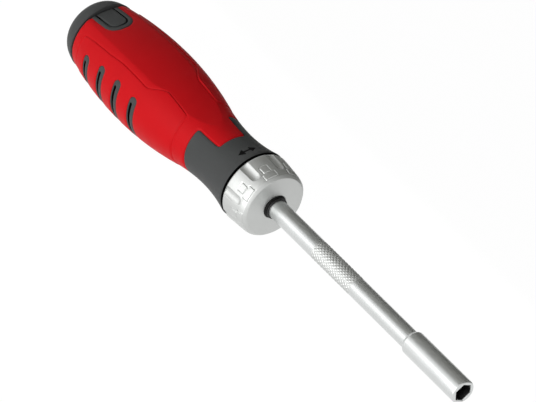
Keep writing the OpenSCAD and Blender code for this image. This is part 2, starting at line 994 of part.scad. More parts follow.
module bit_cross(i, r, web) {
    color([0.5, 0.51, 0.53])
    place_bit(i) {
        shank(bit_end);
        difference() {
            lathe([[0, 0], [0.6, 0], [r, 3.2], [r, bit_end + bit_lap], [0, bit_end + bit_lap]]);
            for (q = [45:90:315])
                rotate([q, 0, 0])
                    translate([-bit_end / 2, web, web])
                        cube(bit_end);
        }
    }
}

module bit_slot_5() {
    bit_slot(0, 4.6, 0.8);
}

module bit_slot_6() {
    bit_slot(1, 5.2, 1);
}

module bit_cross_1() {
    bit_cross(2, 2.2, 0.45);
}

module bit_cross_2() {
    bit_cross(3, 2.8, 0.6);
}

module bit_hex_4() {
    color([0.5, 0.51, 0.53])
    place_bit(4) {
        shank(bit_end);
        rotate([0, -90, 0])
            cylinder(r = 2 / cos(30), h = bit_end + bit_lap, $fn = 6);
    }
}

module bit_star_20() {
    color([0.5, 0.51, 0.53])
    place_bit(5) {
        shank(bit_end);
        slab(0, bit_end + bit_lap)
            difference() {
                circle(r = 1.95);
                for (i = [0:5])
                    rotate(60 * i + 30)
                        translate([2.15, 0])
                            circle(r = 0.6);
            }
    }
}

module release_button() {
    color([0.24, 0.25, 0.25])
    intersection() {
        union() {
            plan(shelf_z, belly_d)
                button_shape(0, 0);
            plan(flange_z, shelf_z + 0.5)
                button_shape(0, flange_back - button_back);
            block(flange_front, flange_back, button_w + 2 * flange_side, flange_z, flange_z + flange_t);
            block(boss_front, flange_back, boss_w, boss_z, flange_z + flange_t);
        }
        under_facet(button_front - 6, tail, 3);
    }
}

grip_core();
grip_overmould();
ratchet_housing();
pawl_cover();
cover_screws();
pawl_pins();
blade_bush();
ring_clip();
housing_screws();
gap_washer();
stop_screw();
eject_spring();
selector_ring();
pawl_springs();
dust_seal();
pawl_upper();
pawl_lower();
blade_shaft();
ratchet_gear();
bit_socket();
socket_magnet();
bit_clip();
front_clip();
tail_washer();
tail_clip();
magazine_cap();
bit_carrier();
tie_screw();
latch_leaf();
latch_rivet();
bit_slot_5();
bit_slot_6();
bit_cross_1();
bit_cross_2();
bit_hex_4();
bit_star_20();
release_button();
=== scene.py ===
"""Ratcheting screwdriver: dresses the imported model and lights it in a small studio.

Sizes are in millimetres. A station is a distance from the socket's mouth towards
the handle, and an angle round the axis is counted from the top, towards +Y.
"""
import json
import logging
import math
from dataclasses import dataclass
from enum import Enum
from typing import Callable, Optional, Sequence, Union

import bmesh
import bpy
from mathutils import Matrix, Vector


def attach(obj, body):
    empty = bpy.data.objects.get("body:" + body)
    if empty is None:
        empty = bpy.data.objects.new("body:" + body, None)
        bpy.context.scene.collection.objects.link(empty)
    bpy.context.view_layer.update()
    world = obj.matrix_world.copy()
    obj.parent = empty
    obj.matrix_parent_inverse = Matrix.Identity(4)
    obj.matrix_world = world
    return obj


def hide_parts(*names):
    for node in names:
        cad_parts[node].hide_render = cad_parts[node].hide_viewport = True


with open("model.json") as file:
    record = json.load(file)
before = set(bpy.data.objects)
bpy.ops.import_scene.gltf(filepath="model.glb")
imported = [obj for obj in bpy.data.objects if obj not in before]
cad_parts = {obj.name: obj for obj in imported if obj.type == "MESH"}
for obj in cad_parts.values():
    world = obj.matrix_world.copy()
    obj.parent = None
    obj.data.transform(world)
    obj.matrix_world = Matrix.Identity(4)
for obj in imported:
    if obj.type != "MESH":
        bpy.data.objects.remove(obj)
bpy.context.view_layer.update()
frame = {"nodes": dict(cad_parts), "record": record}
LOG = logging.getLogger("screwdriver")
MM = 0.001
AXIS = Vector((1, 0, 0))
WHITE = (1, 1, 1, 1)
PAIR = tuple[float, float]
TRIO = tuple[float, float, float]
COLOUR = tuple[float, float, float]


class Body(Enum):
    """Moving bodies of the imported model."""

    HANDLE = "handle"
    SELECTOR = "selector"
    PAWL_A = "pawl_a"
    PAWL_B = "pawl_b"
    BLADE = "blade"
    MAGAZINE = "magazine"
    BUTTON = "button"


class Slot(Enum):
    """Material slots of the record."""

    RED = "grip_red"
    GREY = "core_grey"
    SATIN = "satin_metal"
    SHAFT = "satin_steel"
    PLAIN = "plain_steel"
    BLACKENED = "black_steel"
    SPRING = "spring_steel"
    BIT = "bit_steel"
    BRONZE = "bronze"
    MAGNET = "magnet"
    RUBBER = "black_rubber"
    PLASTIC = "black_plastic"


class Sock:
    """A shader socket that takes part in Python expressions."""

    def __init__(self, graph: "Graph", socket: bpy.types.NodeSocket) -> None:
        """Keeps the socket and the graph it belongs to."""
        self.graph = graph
        self.socket = socket

    def calc(self, operation: str, a: "Value", b: "Value") -> "Sock":
        """Adds one Math node.

        Args:
            operation: Name of the operation.
            a: First value.
            b: Second value.

        Returns:
            The node's result.
        """
        return self.graph.add("ShaderNodeMath", {"operation": operation}, {0: a, 1: b})

    def __add__(self, other: "Value") -> "Sock":
        """Sum."""
        return self.calc("ADD", self, other)

    def __radd__(self, other: "Value") -> "Sock":
        """Sum, the other way round."""
        return self.calc("ADD", other, self)

    def __sub__(self, other: "Value") -> "Sock":
        """Difference."""
        return self.calc("SUBTRACT", self, other)

    def __rsub__(self, other: "Value") -> "Sock":
        """Difference, the other way round."""
        return self.calc("SUBTRACT", other, self)

    def __mul__(self, other: "Value") -> "Sock":
        """Product."""
        return self.calc("MULTIPLY", self, other)

    def __rmul__(self, other: "Value") -> "Sock":
        """Product, the other way round."""
        return self.calc("MULTIPLY", other, self)

    def __pow__(self, other: "Value") -> "Sock":
        """Power."""
        return self.calc("POWER", self, other)

    def larger(self, other: "Value") -> "Sock":
        """The larger of the two."""
        return self.calc("MAXIMUM", self, other)


Value = Union[float, Sequence[float], Sock]


def shade(colour: COLOUR, factor: float) -> COLOUR:
    """Returns the colour made lighter or darker by a factor."""
    return tuple(min(1.0, part * factor) for part in colour)


class Graph:
    """The node tree of a material or of the world."""

    def __init__(self, owner: Union[bpy.types.Material, bpy.types.World]) -> None:
        """Empties the owner's node tree.

        Args:
            owner: Material or world whose nodes are made anew.
        """
        owner.use_nodes = True
        self.owner = owner
        self.tree = owner.node_tree
        self.tree.nodes.clear()

    @classmethod
    def material(cls, name: str) -> "Graph":
        """Starts the graph of a new material of that name."""
        return cls(bpy.data.materials.new(name))

    def add(self, kind: str, settings: Optional[dict] = None, sockets: Optional[dict] = None,
            out: Union[int, str] = 0) -> Optional[Sock]:
        """Adds a node.

        Args:
            kind: Type of the node.
            settings: Properties of the node, set first.
            sockets: Values or links of its inputs, by name or number.
            out: Output that is returned.

        Returns:
            The output, or None for a node without outputs.
        """
        node = self.tree.nodes.new(kind)
        for key, value in (settings or {}).items():
            setattr(node, key, value)
        for key, value in (sockets or {}).items():
            if isinstance(value, Sock):
                self.tree.links.new(value.socket, node.inputs[key])
            else:
                node.inputs[key].default_value = value
        return Sock(self, node.outputs[out]) if len(node.outputs) else None

    def noise(self, vector: Sock, grain: float, detail: float) -> Sock:
        """Adds a noise pattern.

        Args:
            vector: Coordinates in metres.
            grain: Size of a grain in mm.
            detail: Number of finer layers.

        Returns:
            The pattern, about 0.5 on average.
        """
        return self.add("ShaderNodeTexNoise", None, {"Vector": vector, "Scale": 1 / (grain * MM),
                                                     "Detail": detail, "Roughness": 0.55})

    def tones(self, pattern: Sock, colour: COLOUR, spread: float) -> Sock:
        """Adds a colour that drifts a little darker and lighter.

        Args:
            pattern: Pattern of the drift.
            colour: Middle colour.
            spread: Largest change, as a share of the colour.

        Returns:
            The drifting colour.
        """
        dark = shade(colour, 1 - spread)
        light = shade(colour, 1 + spread)
        return self.add("ShaderNodeMix", {"data_type": "RGBA"},
                        {0: pattern, 6: (*dark, 1), 7: (*light, 1)}, 2)

    def relief(self, pattern: Sock, strength: float, deep: float) -> Sock:
        """Adds a fine relief.

        Args:
            pattern: Height of the relief, from 0 to 1.
            strength: Share of the relief that shows.
            deep: Depth in mm.

        Returns:
            The changed normal.
        """
        return self.add("ShaderNodeBump", None, {"Strength": strength, "Distance": deep * MM,
                                                 "Height": pattern})

    def close(self, surface: Sock) -> bpy.types.Material:
        """Links the surface to the output and returns the material."""
        self.add("ShaderNodeOutputMaterial", None, {"Surface": surface})
        return self.owner


@dataclass(frozen=True)
class Moulded:
    """Moulded rubber or plastic with a fine spark-eroded grain."""

    name: str
    colour: COLOUR
    roughness: float
    grain: float = 0.35
    grain_deep: float = 0.02
    mottle: float = 0.06
    specular: float = 0.5
    mottle_grain: float = 14.0
    wear_grain: float = 2.6
    wear: float = 0.12
    grain_rough: float = 0.1
    bump: float = 0.5

    def make(self) -> bpy.types.Material:
        """Makes the material.

        Returns:
            The finished material.
        """
        graph = Graph.material(self.name)
        place = graph.add("ShaderNodeTexCoord", out="Object")
        fine = graph.noise(place, self.grain, 2.0)
        slow = graph.noise(place, self.mottle_grain, 3.0)
        handled = graph.noise(place, self.wear_grain, 4.0)
        rough = self.roughness + (handled - 0.5) * self.wear + (fine - 0.5) * self.grain_rough
        return graph.close(graph.add("ShaderNodeBsdfPrincipled", None, {
            "Base Color": graph.tones(slow, self.colour, self.mottle), "Roughness": rough,
            "Normal": graph.relief(fine, self.bump, self.grain_deep), "Specular IOR Level": self.specular}))


@dataclass(frozen=True)
class Turned:
    """Metal turned on a lathe and plated, with faint lines round the axis."""

    name: str
    colour: COLOUR
    roughness: float
    pitch: float = 0.22
    line_deep: float = 0.003
    speckle: float = 0.03
    speckle_grain: float = 0.5
    drift: float = 0.05
    drift_grain: float = 9.0
    line_rough: float = 0.05
    bump: float = 0.4

    def make(self) -> bpy.types.Material:
        """Makes the material.

        Returns:
            The finished material.
        """
        graph = Graph.material(self.name)
        place = graph.add("ShaderNodeTexCoord", out="Object")
        x, y, z = [graph.add("ShaderNodeSeparateXYZ", None, {0: place}, axis) for axis in "XYZ"]
        radius = (y * y + z * z) ** 0.5
        ring = graph.add("ShaderNodeCombineXYZ", None, {"X": x, "Y": radius})
        lines = graph.noise(ring, self.pitch, 2.0)
        fine = graph.noise(place, self.speckle_grain, 3.0)
        slow = graph.noise(place, self.drift_grain, 2.0)
        rough = self.roughness + (lines - 0.5) * self.line_rough
        rough = rough + (fine - 0.5) * self.speckle + (slow - 0.5) * self.drift
        return graph.close(graph.add("ShaderNodeBsdfPrincipled", None, {
            "Base Color": graph.tones(slow, self.colour, self.drift), "Metallic": 1.0, "Roughness": rough,
            "Normal": graph.relief(lines, self.bump, self.line_deep)}))


@dataclass(frozen=True)
class Blasted:
    """Sand-blasted, blackened or sintered metal with a dull, even tooth."""

    name: str
    colour: COLOUR
    roughness: float
    metallic: float = 1.0
    tooth_grain: float = 0.18
    tooth_deep: float = 0.008
    tooth_rough: float = 0.16
    drift_grain: float = 5.0
    drift_rough: float = 0.1
    drift: float = 0.14
    bump: float = 0.5

    def make(self) -> bpy.types.Material:
        """Makes the material.

        Returns:
            The finished material.
        """
        graph = Graph.material(self.name)
        place = graph.add("ShaderNodeTexCoord", out="Object")
        tooth = graph.noise(place, self.tooth_grain, 3.0)
        slow = graph.noise(place, self.drift_grain, 3.0)
        rough = self.roughness + (tooth - 0.5) * self.tooth_rough + (slow - 0.5) * self.drift_rough
        return graph.close(graph.add("ShaderNodeBsdfPrincipled", None, {
            "Base Color": graph.tones(slow, self.colour, self.drift), "Metallic": self.metallic,
            "Roughness": rough, "Normal": graph.relief(tooth, self.bump, self.tooth_deep)}))


FINISHES = {
    Slot.RED: Moulded("soft_grip_red", (0.6, 0.006, 0.01), 0.5, grain_deep=0.012, specular=0.08),
    Slot.GREY: Moulded("moulded_grey", (0.07, 0.073, 0.073), 0.5, grain=0.3, grain_deep=0.016, specular=0.07),
    # On the knurl band this darker plate is also painted shade of the grooves.
    Slot.SATIN: Turned("satin_plate", (0.56, 0.57, 0.56), 0.5),
    Slot.SHAFT: Turned("satin_shaft", (0.64, 0.655, 0.65), 0.32, line_deep=0.0006, speckle=0.01),
    Slot.PLAIN: Turned("machined_steel", (0.45, 0.45, 0.46), 0.32, 0.35, 0.006),
    Slot.BLACKENED: Blasted("blackened_steel", (0.02, 0.02, 0.021), 0.42, 0.6),
    Slot.SPRING: Turned("spring_steel", (0.5, 0.5, 0.52), 0.25, 0.5),
    Slot.BIT: Blasted("blasted_bit_steel", (0.3, 0.3, 0.32), 0.5),
    Slot.BRONZE: Blasted("sintered_bronze", (0.5, 0.3, 0.12), 0.45),
    Slot.MAGNET: Blasted("plated_magnet", (0.35, 0.35, 0.37), 0.3),
    Slot.RUBBER: Moulded("seal_rubber", (0.006, 0.006, 0.006), 0.5, 0.25, 0.01, specular=0.2),
    # Black plastic also lies deep in the core's slits and seams as painted shade.
    Slot.PLASTIC: Moulded("black_plastic", (0.004, 0.004, 0.004), 0.6, specular=0.03),
}


class Paints:
    """Materials, each made once."""

    def __init__(self) -> None:
        """Starts with none made."""
        self.made: dict[Slot, bpy.types.Material] = {}

    def get(self, slot: Slot) -> bpy.types.Material:
        """Gives the material of a slot, made at its first use.

        Args:
            slot: The material slot.

        Returns:
            Its material.
        """
        if slot not in self.made:
            self.made[slot] = FINISHES[slot].make()
        return self.made[slot]


PAINTS = Paints()


def ramp(value: float, low: float, high: float) -> float:
    """Returns how far a value is between two limits, from 0 to 1."""
    return min(1.0, max(0.0, (value - low) / (high - low)))


def smooth(value: float, low: float, high: float) -> float:
    """Returns a ramp that starts and ends gently."""
    part = ramp(value, low, high)
    return part * part * (3 - 2 * part)


def box_corner(a: float, b: float, radius: float) -> float:
    """Distance to a shape bounded by two lines with a rounded outer corner.

    Args:
        a: Distance beyond the first line.
        b: Distance beyond the second line.
        radius: Radius of the corner.

    Returns:
        The distance, below 0 inside the shape.
    """
    over = math.hypot(max(a + radius, 0.0), max(b + radius, 0.0))
    return min(max(a, b) + radius, 0.0) + over - radius


def fillet_union(a: float, b: float, radius: float) -> float:
    """Distance to two shapes joined with a rounded inner corner.

    Args:
        a: Distance beyond the first shape.
        b: Distance beyond the second shape.
        radius: Radius of the corner.

    Returns:
        The distance, below 0 inside the joined shape.
    """
    under = math.hypot(max(radius - a, 0.0), max(radius - b, 0.0))
    return max(radius, min(a, b)) - under


def spaced(low: float, high: float, count: int) -> list[float]:
    """Returns the places that divide a line evenly, without its start."""
    return [low + (high - low) * k / count for k in range(1, count + 1)]


def steps(breaks: Sequence[float], size: float) -> list[float]:
    """Divides a line at its breaks and then evenly.

    Args:
        breaks: Places that are kept.
        size: Largest distance between neighbours.

    Returns:
        All the places.
    """
    places = [breaks[0]]
    for low, high in zip(breaks, breaks[1:]):
        places += spaced(low, high, max(1, math.ceil((high - low) / size - 1e-6)))
    return places


def both_sides(half: Sequence[float]) -> list[float]:
    """Returns angles from the top down one side, led by those of the other side."""
    return [-angle for angle in reversed(half[1:])] + list(half)


def rounded(profile: Sequence[PAIR], radius: float, arc: int = 4) -> list[PAIR]:
    """Rounds the inner points of an outline.

    Args:
        profile: Points of radius and station.
        radius: Largest radius of a corner.
        arc: Number of steps in a corner.

    Returns:
        The finer outline.
    """
    longest = 0.45
    points = [Vector(point) for point in profile]
    result = [points[0]]
    for before, corner, after in zip(points, points[1:], points[2:]):
        back = before - corner
        on = after - corner
        cut = min(radius, back.length * longest, on.length * longest)
        first = corner + back.normalized() * cut
        last = corner + on.normalized() * cut
        for k in range(arc + 1):
            t = k / arc
            result.append(first * (1 - t) ** 2 + corner * (2 * t * (1 - t)) + last * t ** 2)
    result.append(points[-1])
    return [(point.x, point.y) for point in result]


def axis_point(station: float, angle: float, radius: float) -> Vector:
    """Returns the point at a station, an angle from the top and a radius."""
    return Vector((-station, radius * math.sin(angle), radius * math.cos(angle)))


def lathe(profile: Sequence[PAIR], segments: int = 128) -> bmesh.types.BMesh:
    """Spins an outline about the long axis.

    Args:
        profile: Points of radius and station; the first is repeated at the end to close it.
        segments: Number of steps round the axis.

    Returns:
        The spun mesh.
    """
    bm = bmesh.new()
    closed = profile[0] == profile[-1]
    verts = [bm.verts.new((-s, 0.0, r)) for r, s in (profile[:-1] if closed else profile)]
    pairs = list(zip(verts, verts[1:]))
    if closed:
        pairs.append((verts[-1], verts[0]))
    edges = [bm.edges.new(pair) for pair in pairs]
    bmesh.ops.spin(bm, geom=verts + edges, cent=(0, 0, 0), axis=(1, 0, 0), angle=math.tau,
                   steps=segments, use_merge=True)
    bmesh.ops.remove_doubles(bm, verts=bm.verts, dist=1e-4)
    bmesh.ops.recalc_face_normals(bm, faces=bm.faces)
    return bm


def band(profile: Sequence[PAIR], corner: float) -> bmesh.types.BMesh:
    """Spins a ring whose outline runs from the bore, round the outside and back to the bore.

    Args:
        profile: Points of radius and station.
        corner: Radius of the outer corners.

    Returns:
        The closed ring.
    """
    outline = rounded(profile, corner)
    return lathe(outline + [outline[0]])


def flat_band(bore: float, outer: float, front: float, back: float) -> list[PAIR]:
    """Returns the outline of a flat ring."""
    return [(bore, front), (outer, front), (outer, back), (bore, back)]


def surface(rows: int, cols: int, place: Callable[[int, int], Vector]) -> bmesh.types.BMesh:
    """Makes a grid and puts each of its points in place.

    Args:
        rows: Number of rows of points.
        cols: Number of points in a row.
        place: Gives the point at a row and a column.

    Returns:
        The shaped grid, with coinciding points merged.
    """
    bm = bmesh.new()
    bmesh.ops.create_grid(bm, x_segments=rows - 1, y_segments=cols - 1, size=0.5)
    for vert in bm.verts:
        row = round((vert.co.x + 0.5) * (rows - 1))
        col = round((vert.co.y + 0.5) * (cols - 1))
        vert.co = place(row, col)
    bmesh.ops.remove_doubles(bm, verts=bm.verts, dist=1e-4)
    return bm


def absorb(target: bmesh.types.BMesh, source: bmesh.types.BMesh, finish: int = 0) -> None:
    """Moves one mesh into another.

    Args:
        target: Mesh that grows.
        source: Mesh that is added and freed.
        finish: Number of the material of the added faces.
    """
    for face in source.faces:
        face.material_index = finish
    mesh = bpy.data.meshes.new("passing")
    source.to_mesh(mesh)
    source.free()
    target.from_mesh(mesh)
    bpy.data.meshes.remove(mesh)


def open_edges(bm: bmesh.types.BMesh) -> list[bmesh.types.BMEdge]:
    """Returns the edges that have one face."""
    return [edge for edge in bm.edges if edge.is_boundary]


@dataclass
class Sheet:
    """A patch of skin: a grid trimmed along an outline and given a thickness.

    The two coordinates of the grid are a station and a crosswise place, which is
    an angle or a distance. The trim is the distance beyond the outline, in mm.
    """

    rows: Sequence[float]
    cols: Callable[[float], Sequence[float]]
    place: Callable[[float, float, float], Vector]
    trim: Callable[[float, float], float]
    sink: Callable[[Vector], Vector]
    scale: float = 1.0
    reach: float = 0.33

    def settle(self, s: float, c: float) -> TRIO:
        """Moves a grid point that is close to the outline onto it.

        Args:
            s: Station.
            c: Crosswise place.

        Returns:
            The station, the crosswise place and the distance beyond the outline.
        """
        d = self.trim(s, c)
        if abs(d) > self.reach:
            return s, c, d
        small = 0.02
        flattest = 0.25
        side = small / self.scale
        along = (self.trim(s + small, c) - self.trim(s - small, c)) / (2 * small)
        across = (self.trim(s, c + side) - self.trim(s, c - side)) / (2 * small)
        steep = max(along * along + across * across, flattest)
        return s - d * along / steep, c - d * across / steep / self.scale, 0.0

    def build(self) -> bmesh.types.BMesh:
        """Makes the patch.

        Returns:
            The closed patch, with its faces outwards.
        """
        lines = [self.cols(s) for s in self.rows]
        last_row = len(self.rows) - 1
        last_col = len(lines[0]) - 1
        beyond: dict[bmesh.types.BMVert, float] = {}
        bm = bmesh.new()
        bmesh.ops.create_grid(bm, x_segments=last_row, y_segments=last_col, size=0.5)
        for vert in bm.verts:
            row = round((vert.co.x + 0.5) * last_row)
            col = round((vert.co.y + 0.5) * last_col)
            s, c, beyond[vert] = self.settle(self.rows[row], lines[row][col])
            vert.co = self.place(s, c, beyond[vert])
        out = [face for face in bm.faces if sum(beyond[vert] for vert in face.verts) > 1e-6]
        bmesh.ops.delete(bm, geom=out, context="FACES")
        loose = [vert for vert in bm.verts if not vert.link_faces]
        bmesh.ops.delete(bm, geom=loose, context="VERTS")
        bmesh.ops.remove_doubles(bm, verts=bm.verts, dist=0.01)
        bmesh.ops.dissolve_degenerate(bm, edges=bm.edges, dist=0.005)
        grown = bmesh.ops.extrude_face_region(bm, geom=list(bm.faces), use_keep_orig=True)
        for item in grown["geom"]:
            if isinstance(item, bmesh.types.BMVert):
                item.co = self.sink(item.co)
        bmesh.ops.recalc_face_normals(bm, faces=bm.faces)
        return bm


def piece(bm: bmesh.types.BMesh, name: str, body: Body, slots: Sequence[Slot], nodes: Sequence[str],
          sharp: float = 32.0) -> None:
    """Turns a mesh in mm into a finished piece.

    Args:
        bm: The mesh, which is freed.
        name: Name of the piece.
        body: Body that the piece rides on.
        slots: Material slots, the first being the piece's own.
        nodes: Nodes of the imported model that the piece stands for.
        sharp: Angle in degrees above which an edge stays sharp.
    """
    bmesh.ops.scale(bm, vec=(MM, MM, MM), verts=bm.verts)
    for face in bm.faces:
        face.smooth = True
    mesh = bpy.data.meshes.new(name)
    bm.to_mesh(mesh)
    bm.free()
    mesh.set_sharp_from_angle(angle=math.radians(sharp))
    for slot in slots:
        mesh.materials.append(PAINTS.get(slot))
    obj = bpy.data.objects.new(name, mesh)
    bpy.context.scene.collection.objects.link(obj)
    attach(obj, body.value)
    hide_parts(*nodes)
    LOG.info("%s: %d faces on %s", name, len(mesh.polygons), body.value)


@dataclass(frozen=True)
class GripForm:
    """Outline of the handle and the lines on its skin."""

    collar: float = 136.3
    tail: float = 250.0
    neck_s: float = 154.0
    neck_r: float = 13.1
    belly_s: float = 206.0
    belly_r: float = 18.87
    tail_cut: float = 240.7
    tail_gap: float = 0.3
    rear_drop: float = 3.375
    front_share: float = 0.653
    flare: float = 70.0
    skirt: float = 164.1
    skin: float = 2.8
    facet_deep: float = 1.7
    facet_share: float = 0.75
    facet_rise: PAIR = (160.1, 174.1)
    facet_jog: PAIR = (185.0, 194.0)
    facet_wide: float = 1.2
    crown: float = 0.0124
    panel_step: float = 0.22
    panel_front: float = 171.0
    panel_back: float = 235.3
    panel_corner: float = 1.6
    panel_blend: float = 0.1
    panel_fade: PAIR = (166.0, 178.0)
    groove_deep: float = 0.28
    groove_half: float = 0.42
    groove_at: float = 7.05
    groove_jog: float = 4.65
    groove_jog_s: PAIR = (183.5, 194.0)
    groove_spread: float = 0.6
    groove_spread_s: PAIR = (209.0, 217.0)
    tongue_front: float = 151.2
    tongue_half: float = 6.15
    tongue_flare: float = 0.055
    tongue_corner: float = 1.1
    tongue_fillet: float = 1.2
    tongue_wide: float = 1.5
    slot_top: float = 15.35
    slot_to: float = 122.0
    slot_pitch: float = 11.0
    slot_half: float = 2.05
    first_slot: int = -1
    last_slot: int = 2

    @property
    def grip_end(self) -> float:
        """Station where the grip ends, just before the cap's line."""
        return self.tail_cut - self.tail_gap

    @staticmethod
    def drop(arc: float, along: float) -> float:
        """How far an arc falls away over a distance."""
        return arc - math.sqrt(arc * arc - along * along)

    def wave(self, s: float) -> float:
        """Outline of the handle, four arcs that run into each other.

        Args:
            s: Station.

        Returns:
            The radius.
        """
        rise = self.belly_r - self.neck_r
        span = self.belly_s - self.neck_s
        total = (span * span + rise * rise) / (2 * rise)
        front = total * self.front_share
        rear = self.tail_cut - self.belly_s
        if s > self.belly_s:
            arc = (rear * rear + self.rear_drop ** 2) / (2 * self.rear_drop)
            return self.belly_r - self.drop(arc, s - self.belly_s)
        if s > self.belly_s - span * self.front_share:
            return self.belly_r - self.drop(front, s - self.belly_s)
        if s > self.neck_s:
            return self.neck_r + self.drop(total - front, s - self.neck_s)
        return self.neck_r + self.drop(self.flare, s - self.neck_s)

    def facet(self, s: float) -> float:
        """Depth of the facet along the top."""
        share = self.facet_share * ramp(s, *self.facet_rise)
        return self.facet_deep * (share + (1 - self.facet_share) * smooth(s, *self.facet_jog))

    def top(self, s: float, y: float) -> float:
        """Height of the crowned facet."""
        return self.wave(s) - self.facet(s) - self.crown * y * y

    def facet_radius(self, s: float, angle: float) -> float:
        """Radius of the crowned facet.

        Args:
            s: Station.
            angle: Angle from the top.

        Returns:
            The radius, without limit at angles that the facet doesn't reach.
        """
        if abs(angle) > self.facet_wide:
            return math.inf
        high = self.wave(s) - self.facet(s)
        sine = self.crown * math.sin(angle) ** 2
        cosine = math.cos(angle)
        if sine < 1e-7:
            return high / cosine
        return (math.sqrt(cosine * cosine + 4 * sine * high) - cosine) / (2 * sine)

    def groove(self, s: float) -> float:
        """Distance from the middle plane to the upper edge of a side panel."""
        jog = self.groove_jog * smooth(s, *self.groove_jog_s)
        return self.groove_at + jog + self.groove_spread * ramp(s, *self.groove_spread_s)

    def groove_angle(self, s: float) -> float:
        """Angle from the top to the upper edge of a side panel."""
        return math.asin(self.groove(s) / self.wave(s))

    def panel(self, s: float, angle: float) -> float:
        """Distance beyond the outline of the side panels.

        Args:
            s: Station.
            angle: Angle from the top.

        Returns:
            The distance, below 0 on a panel.
        """
        small = 0.1
        inside = (self.groove_angle(s) - abs(angle)) * self.wave(s)
        tilt = (self.groove(s + small) - self.groove(s - small)) / (2 * small)
        end = max(self.panel_front - s, s - self.panel_back)
        return box_corner(inside / math.hypot(1, tilt), end, self.panel_corner)

    def slot_from(self, s: float) -> float:
        """Angle of the middle of a slot's upper end."""
        quarter = self.slot_half / 2
        return math.asin((self.slot_top + quarter) / self.wave(s)) + quarter / self.wave(s)

    def slot(self, s: float, angle: float, back: float, half: float, late: float = 0.0) -> float:
        """Distance beyond the nearest slot.

        Args:
            s: Station.
            angle: Angle from the top.
            back: Shift of the slot to the rear.
            half: Half the slot's width.
            late: Distance by which the upper end is lowered.

        Returns:
            The distance, below 0 in a slot.
        """
        nearest = round((s - back - self.belly_s) / self.slot_pitch)
        middle = self.belly_s + min(self.last_slot, max(self.first_slot, nearest)) * self.slot_pitch
        low = self.slot_from(middle) + late / self.wave(middle)
        high = math.radians(self.slot_to)
        past = abs(angle) - min(high, max(low, abs(angle)))
        return math.hypot(s - back - middle, past * self.wave(s)) - half

    def tongue(self, s: float, y: float) -> float:
        """Distance beyond the tongue on the top."""
        half = self.tongue_half + self.tongue_flare * (s - self.tongue_front)
        return box_corner(abs(y) - half, self.tongue_front - s, self.tongue_corner)

    def red(self, s: float, angle: float) -> float:
        """Distance beyond the front edge of the red skin.

        Args:
            s: Station.
            angle: Angle from the top.

        Returns:
            The distance, below 0 on the skin.
        """
        y = self.wave(s) * math.sin(angle)
        if abs(angle) > self.tongue_wide:
            return self.skirt - s
        return fillet_union(self.skirt - s, self.tongue(s, y), self.tongue_fillet)


@dataclass(frozen=True)
class ButtonForm:
    """Outline of the release button, seen from above."""

    front: float = 228.1
    back: float = 240.3
    half: float = 3.8
    corner: float = 3.1
    corner_share: float = 0.9
    gap: float = 0.5
    rim: float = 1.9

    @property
    def surround(self) -> float:
        """How much larger than the button its surround is."""
        return self.gap + self.rim

    def outline(self, s: float, y: float, grow: float) -> float:
        """Distance beyond the outline, grown on all sides but the rear.

        Args:
            s: Station.
            y: Distance from the middle plane.
            grow: How much larger than the button the outline is.

        Returns:
            The distance, below 0 inside.
        """
        corner = self.corner + grow * self.corner_share
        return box_corner(abs(y) - self.half - grow, self.front - grow - s, corner)


FORM = GripForm()
BUTTON = ButtonForm()


def lip(d: float, wide: float, deep: float) -> float:
    """How far a rounded edge falls below the surface.

    Args:
        d: Distance beyond the edge, below 0 on the piece.
        wide: Width of the rounding.
        deep: Depth of the rounding.

    Returns:
        The fall.
    """
    part = 1 + max(-wide, min(0.0, d)) / wide
    return deep * (1 - math.sqrt(max(0.0, 1 - part * part)))


def inward(depth: float) -> Callable[[Vector], Vector]:
    """Makes a way to thicken a patch towards the long axis.

    Args:
        depth: Thickness.

    Returns:
        A function that moves a point by the thickness.
    """
    def move(point: Vector) -> Vector:
        """Moves one point."""
        flat = Vector((0.0, point.y, point.z))
        return point - flat.normalized() * depth
    return move


def inward_to(radius: float) -> Callable[[Vector], Vector]:
    """Makes a way to thicken a patch down to a radius.

    Args:
        radius: Radius about the long axis.

    Returns:
        A function that moves a point to the radius.
    """
    def move(point: Vector) -> Vector:
        """Moves one point."""
        flat = Vector((0.0, point.y, point.z))
        return Vector((point.x, 0.0, 0.0)) + flat.normalized() * radius
    return move


def down_to(height: float) -> Callable[[Vector], Vector]:
    """Makes a way to thicken a patch straight down.

    Args:
        height: Height of the underside.

    Returns:
        A function that moves a point to the height, or just below itself.
    """
    thinnest = 0.05

    def move(point: Vector) -> Vector:
        """Moves one point."""
        return Vector((point.x, point.y, min(height, point.z - thinnest)))
    return move


